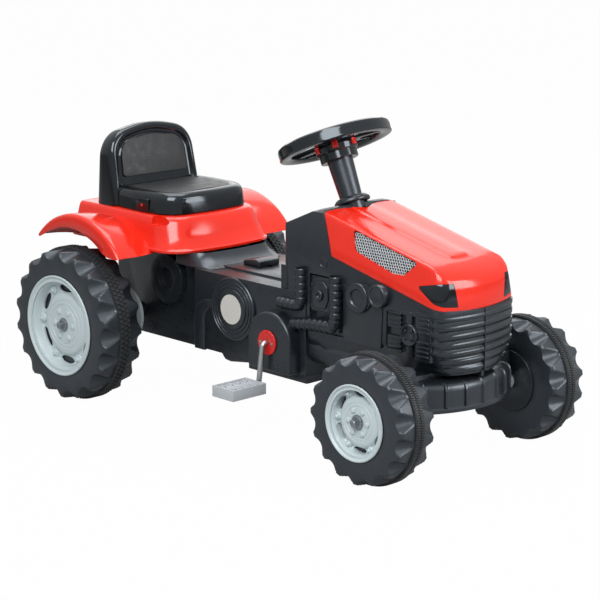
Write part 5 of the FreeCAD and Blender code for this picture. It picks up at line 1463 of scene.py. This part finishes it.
def even_path(points, spacing, rounds):
    """A path of (x, z, out) points resampled evenly and softened at its bends."""
    spots = [Vector(point) for point in points]
    path = []
    for first, second in zip(spots, spots[1:]):
        count = max(round((second - first).length / spacing), 1)
        path += [first.lerp(second, step / count) for step in range(count)]
    path.append(spots[-1])
    for _ in range(rounds):
        path = [path[0]] + [(a + b + c) / 3 for a, b, c in zip(path, path[1:], path[2:])] + [path[-1]]
    return path


def ribbed_hose(side, points, radius):
    """A ribbed hose along a path on the tractor's side."""
    path = even_path(points, HOSE_STEP, HOSE_SOFTENING)
    plane = side_plane(side)
    rows = []
    run = 0.0
    for number, (x, z, out) in enumerate(path):
        before, after = path[max(number - 1, 0)], path[min(number + 1, len(path) - 1)]
        heading = Vector((after.x - before.x, after.y - before.y)).normalized()
        run += (after - before).length / 2
        size = radius - HOSE_GROOVE * wave(run, HOSE_RIB_PITCH) ** GROOVE_SHARPNESS
        row = []
        for step in range(HOSE_SIDES + 1):
            turn = math.tau * step / HOSE_SIDES
            across = size * math.cos(turn)
            row.append(plane(x - heading.y * across, z + heading.x * across, out + size * math.sin(turn)))
        rows.append(row)
    return sheet("ribbed_hose", rows)


LONG_HOSE = [(597, 317, 106), (597, 236, 106), (590, 224, 106.5), (537, 221, 107), (490, 213, 108)]
SHORT_HOSE = [(510.5, 319, 107), (510.5, 258, 107), (503, 249, 107), (456, 248, 108)]
print("hose ribs every", HOSE_RIB_PITCH, "mm")

# %% Engine details on one side
PULLEY = [(27, -3), (27, 8.5), (25.6, 9.8), (16.5, 9.8), (15, 8.6), (14.4, 6.8), (0, 6.8)]
IDLER = [(21, -3), (21, 12.4), (19.6, 13.6), (16.4, 13.6), (15.6, 12.2), (15, 11.8), (0, 11.8)]
SCREW_RECESS = [(9, -2), (9, 0.8), (8, 1.4), (6.8, 0.6), (6.4, -1.5), (0, -1.5)]
COVER_BOLT = [(10, -2), (10, 3.4), (9, 4.2), (5.4, 4.2), (4.8, 3.4), (4.4, 0.5), (0, 0.5)]
FAN_HUB = [(20, -5), (20, 2), (18.4, 3.6), (16, 3.8), (15, 2.8), (0, 2.8)]
STUD = [(2.6, -1), (2.6, 1.2), (1.8, 1.8), (0, 1.8)]
FIN_LEVELS = (275, 267, 259, 251, 233, 225, 217, 209)
FIN_STACKS = ((721, 751, 103.0), (788, 815, 103.8))
FIN_HALF = 2
FAN_MIDDLE = (769, 241)
FAN_STUD_R = 9.5
COVER_OUTLINE = rounded_outline([
    (524, 272, 14), (530, 246, 9), (584, 246, 9), (587, 260, 9), (587, 296, 9), (580, 309, 9), (534, 305, 9),
], 4)
COVER_RAISED = rounded_outline([
    (536, 272, 8), (541, 251, 6), (570, 253, 6), (577, 270, 9), (575, 292, 8), (565, 302, 7), (542, 298, 7),
], 4)
ENGINE_PLATE = rounded_outline([(614, 203, 2), (705, 206, 2), (708, 290, 2), (614, 290, 2)])
ENGINE_BLOCK = rounded_outline([(453, 268, 3), (499, 268, 3), (499, 317, 2), (453, 317, 2)])
ENGINE_PLATES = [
    ("engine_cover", COVER_OUTLINE, 92, 103, 2.0),
    ("cover_rise", COVER_RAISED, 101, 106, 2.0),
    ("engine_plate", ENGINE_PLATE, 96, 103.6, 1.0),
    ("engine_block", ENGINE_BLOCK, 80, 102.6, 1.4),
    ("fin_bed", box_outline((783, 818), (200, 284), 2), 90, 101.2, 1.0),
    ("upper_stub", box_outline((763, 775), (258, 281), 2), 94, 102, 1.5),
    ("lower_stub", box_outline((763, 775), (202, 224), 2), 94, 102, 1.5),
]
for z in FIN_LEVELS:
    for rear, front, face in FIN_STACKS:
        fin = box_outline((rear, front), (z - FIN_HALF, z + FIN_HALF), 1, 2)
        ENGINE_PLATES.append(("fin", fin, 95, face, 0.9, 2))
ENGINE_TURNED = [
    ("pulley", PULLEY, (653, 288), 0.0),
    ("idler", IDLER, (703, 299), 0.0),
    ("screw_recess", SCREW_RECESS, (564, 335), 0.0),
    ("cover_bolt", COVER_BOLT, (556, 276), 2.4),
    ("fan_hub", FAN_HUB, FAN_MIDDLE, 0.0),
    ("cover_screw", STUD, (536, 256), -0.6),
    ("cover_screw", STUD, (535, 293), -0.6),
]
for turn in (45, 135, 225, 315):
    x = FAN_MIDDLE[0] + FAN_STUD_R * math.cos(math.radians(turn))
    z = FAN_MIDDLE[1] + FAN_STUD_R * math.sin(math.radians(turn))
    ENGINE_TURNED.append(("fan_stud", STUD, (x, z), 2.4))


def set_on_side(name, profile, side, place, lift):
    """A spun detail at a place (x, z) on the tractor's side, lifted off it by some millimetres."""
    x, z = place
    middle = spot(x, SIDES[side] * (body_side(x) + lift), z)
    return spun(name, profile, middle, LEFT * SIDES[side], UP, 32, closed=False)


def engine_details(side):
    """All the engine's relief on one side of the front body."""
    hoses = [ribbed_hose(side, LONG_HOSE, 12.0), ribbed_hose(side, SHORT_HOSE, 11.0)]
    turned = [set_on_side(name, profile, side, place, lift) for name, profile, place, lift in ENGINE_TURNED]
    return hoses + side_plates(side, ENGINE_PLATES) + turned


print("fins:", len(FIN_STACKS) * len(FIN_LEVELS), "on each side")

# %% [markdown]
# ## Nose
# Seven soft ridges run round the nose and fade out behind its corners. Below them the chin draws in.
# The ridges are rows of the same U as the hood's, moved out and in by a rounded wave.

# %% Nose ridges
NOSE_HALF = 100.0
NOSE_TOP = 286.5
NOSE_FOOT = 177.0
CHIN_TOP = 216.0
CHIN_IN = 32.0
CHIN_FOOT = 170.5
CHIN_REAR = 0.9
CHIN_BOW = 0.1
CHIN_BACK = 0.0625
RIDGE_LOW = 184.0
RIDGE_PITCH = 15.2
RIDGE_OUT = 3.6
RIDGE_REAR = 800.0
RIDGE_START = 821.0
RIDGE_FADE = 18.0
RIDGE_SINK = 1.5
RIDGE_BASE = 0.3
RIDGE_FULLNESS = 0.6
LEAN_REAR = 18.0
LEAN_LONG = 30.0
NOSE_ROWS = 72
NOSE_SIDE_STEPS = 8


def nose_row(z):
    """One U round the nose at a height, with its share of the ridge that runs there."""
    chin = CHIN_IN * max(CHIN_TOP - z, 0.0) / (CHIN_TOP - CHIN_FOOT)
    ridge = RIDGE_BASE + RIDGE_OUT * wave(z - RIDGE_LOW, RIDGE_PITCH) ** RIDGE_FULLNESS
    half = NOSE_HALF - chin
    start_half = body_side(RIDGE_REAR) - chin * CHIN_REAR
    bow = HOOD_BOW + chin * CHIN_BOW
    rounded_off = CORNER_ROUND - ridge / 2
    front = HOOD_NOSE - chin * CHIN_BACK
    places = []
    for x, y, _ in u_curve(RIDGE_REAR, start_half, half, front, bow, rounded_off, NOSE_SIDE_STEPS):
        fade = clamped((x - RIDGE_START) / RIDGE_FADE)
        out = ridge * fade * fade * (3 - 2 * fade) - RIDGE_SINK * (1 - fade)
        lean = clamped((x - (HOOD_NOSE - HOOD_BOW - LEAN_REAR)) / LEAN_LONG)
        places.append((x + out * lean, max(y + out * (1 - lean), 0.0) if y > HAIR else 0.0, z))
    return both_sides(places)


nose = sheet("nose_ridges", [
    nose_row(NOSE_FOOT + (NOSE_TOP - NOSE_FOOT) * step / NOSE_ROWS) for step in range(NOSE_ROWS + 1)
])
thicken(nose, 1.0)
print(nose.name, len(nose.data.polygons), "faces")

# %% Front body with all its relief
TUBE_OUTLINE = [(0, 0), (24, 0), (24, 132), (22, 137), (16, 140), (0, 140)]
TUBE_REAR = (500.0, 74.0, 166.0)
MOULD_SEAM = [(-0.9, 176), (0.9, 176), (0.9, 286), (-0.9, 286)]


def front_plane(y, z, x):
    """The tractor's front as a drawing plane: y to the left, z up, out to the front."""
    return spot(x, y, z)


front_parts = [
    soft_copy("front_body", 1.6),
    nose,
    plate("mould_seam", MOULD_SEAM, 846, 852.6, front_plane, 0.4, 2),
    plate("seam_tab", box_outline((-3, 3), (166, 180), 1, 2), 840, 848, front_plane, 0.8, 2),
]
for side in SIDES:
    front_parts += engine_details(side)
    tube_start = spot(TUBE_REAR[0], SIDES[side] * TUBE_REAR[1], TUBE_REAR[2])
    front_parts.append(spun("sump_tube", TUBE_OUTLINE, tube_start, FORWARD, UP, 40, closed=False))
dress(joined("moulded_front_body", front_parts), "front_body", 35)

# %% [markdown]
# ## Front bumper
# The axle beam ends in a bowed bumper with seven ribs that wrap over its rounded top edge, and a lip
# along its foot. Its section is swept round the bow, and the columns at each rib are moved outwards.

# %% Front bumper and axle beam
BUMPER_R = 190.0
BUMPER_FRONT = 850.0
BUMPER_HALF = 117.0
BUMPER_TURN = math.asin(BUMPER_HALF / BUMPER_R)
BUMPER_RIBS = 7
BUMPER_COLUMNS = 140
BUMPER_TOP = 165.0
RIB_SPREAD = 0.94
RIB_HALF = 3.6
RIB_EDGE = 1.4
RIB_OUT = 3.4
RIB_FOOT = 121.0
RIB_FLAT = 0.6
RIB_RISE = 0.5
RIB_REAR = (-22.0, 8.0)
TOP_ROUND = (148.0, 14.0)
END_ROUND = 10.0
LID_R = 178.0
BEAM_X = 774.0
BEAM_HALF = 138.0
BUMPER_SECTION = [
    (-40, 164.6), (-18, 164.6), (-12, 164.0), (-7, 162.0), (-3, 158.5), (-1, 154), (-0.4, 148), (0, 126),
    (0.4, 122), (2.2, 120.4), (3.8, 118.6), (4.0, 115), (3.0, 112.6), (1.0, 112.1), (-8, 112.1),
]
KINGPIN_BOSS = [(9.2, 136), (12.2, 136), (13, 137), (13, 173), (12.2, 174), (9.2, 174)]


def on_bow(r, turn):
    """A place (x, y) on the bumper's bow."""
    return BUMPER_FRONT - BUMPER_R + r * math.cos(turn), r * math.sin(turn)


def bumper_column(turn):
    """One upright row of the bumper at an angle round its bow."""
    spread = BUMPER_TURN * RIB_SPREAD
    ribs = [spread * (2 * number / (BUMPER_RIBS - 1) - 1) for number in range(BUMPER_RIBS)]
    away = min(abs(turn - rib) for rib in ribs) * BUMPER_R
    rise = RIB_OUT * clamped((RIB_HALF - away) / RIB_EDGE)
    end = clamped((BUMPER_TURN - abs(turn)) * BUMPER_R / END_ROUND)
    tuck = END_ROUND * (1 - math.sqrt(max(1 - (1 - end) ** 2, 0.0)))
    row = []
    for out, z in BUMPER_SECTION:
        lift = rise * clamped((out - RIB_REAR[0]) / RIB_REAR[1]) if z > RIB_FOOT else 0.0
        top = clamped((z - TOP_ROUND[0]) / TOP_ROUND[1])
        r = BUMPER_R + out - tuck + lift * (1 - top * RIB_FLAT)
        row.append(spot(*on_bow(r, turn), min(z + lift * top * RIB_RISE, BUMPER_TOP)))
    return row


turns = [BUMPER_TURN * (2 * column / BUMPER_COLUMNS - 1) for column in range(BUMPER_COLUMNS + 1)]
bumper = sheet("bumper", [bumper_column(turn) for turn in turns])
thicken(bumper, 3.0)
lid_outline = [(760, -104)] + [on_bow(LID_R, turn) for turn in turns[8:-8:6]] + [(760, 104)]
lid = plate("bumper_lid", lid_outline, 150, 162, spot, 1.0)
cross = plate("cross_beam", box_outline((758, 790), (-BEAM_HALF, BEAM_HALF), 10), 136.5, 173.5, spot, 2.0)
beam_parts = [bumper, lid, cross]
for y in (-BEAM_HALF, BEAM_HALF):
    beam_parts.append(spun("kingpin_boss", KINGPIN_BOSS, spot(BEAM_X, y, 0), UP, LEFT, 32))
dress(joined("ribbed_bumper_beam", beam_parts), "front_axle_beam", 35)
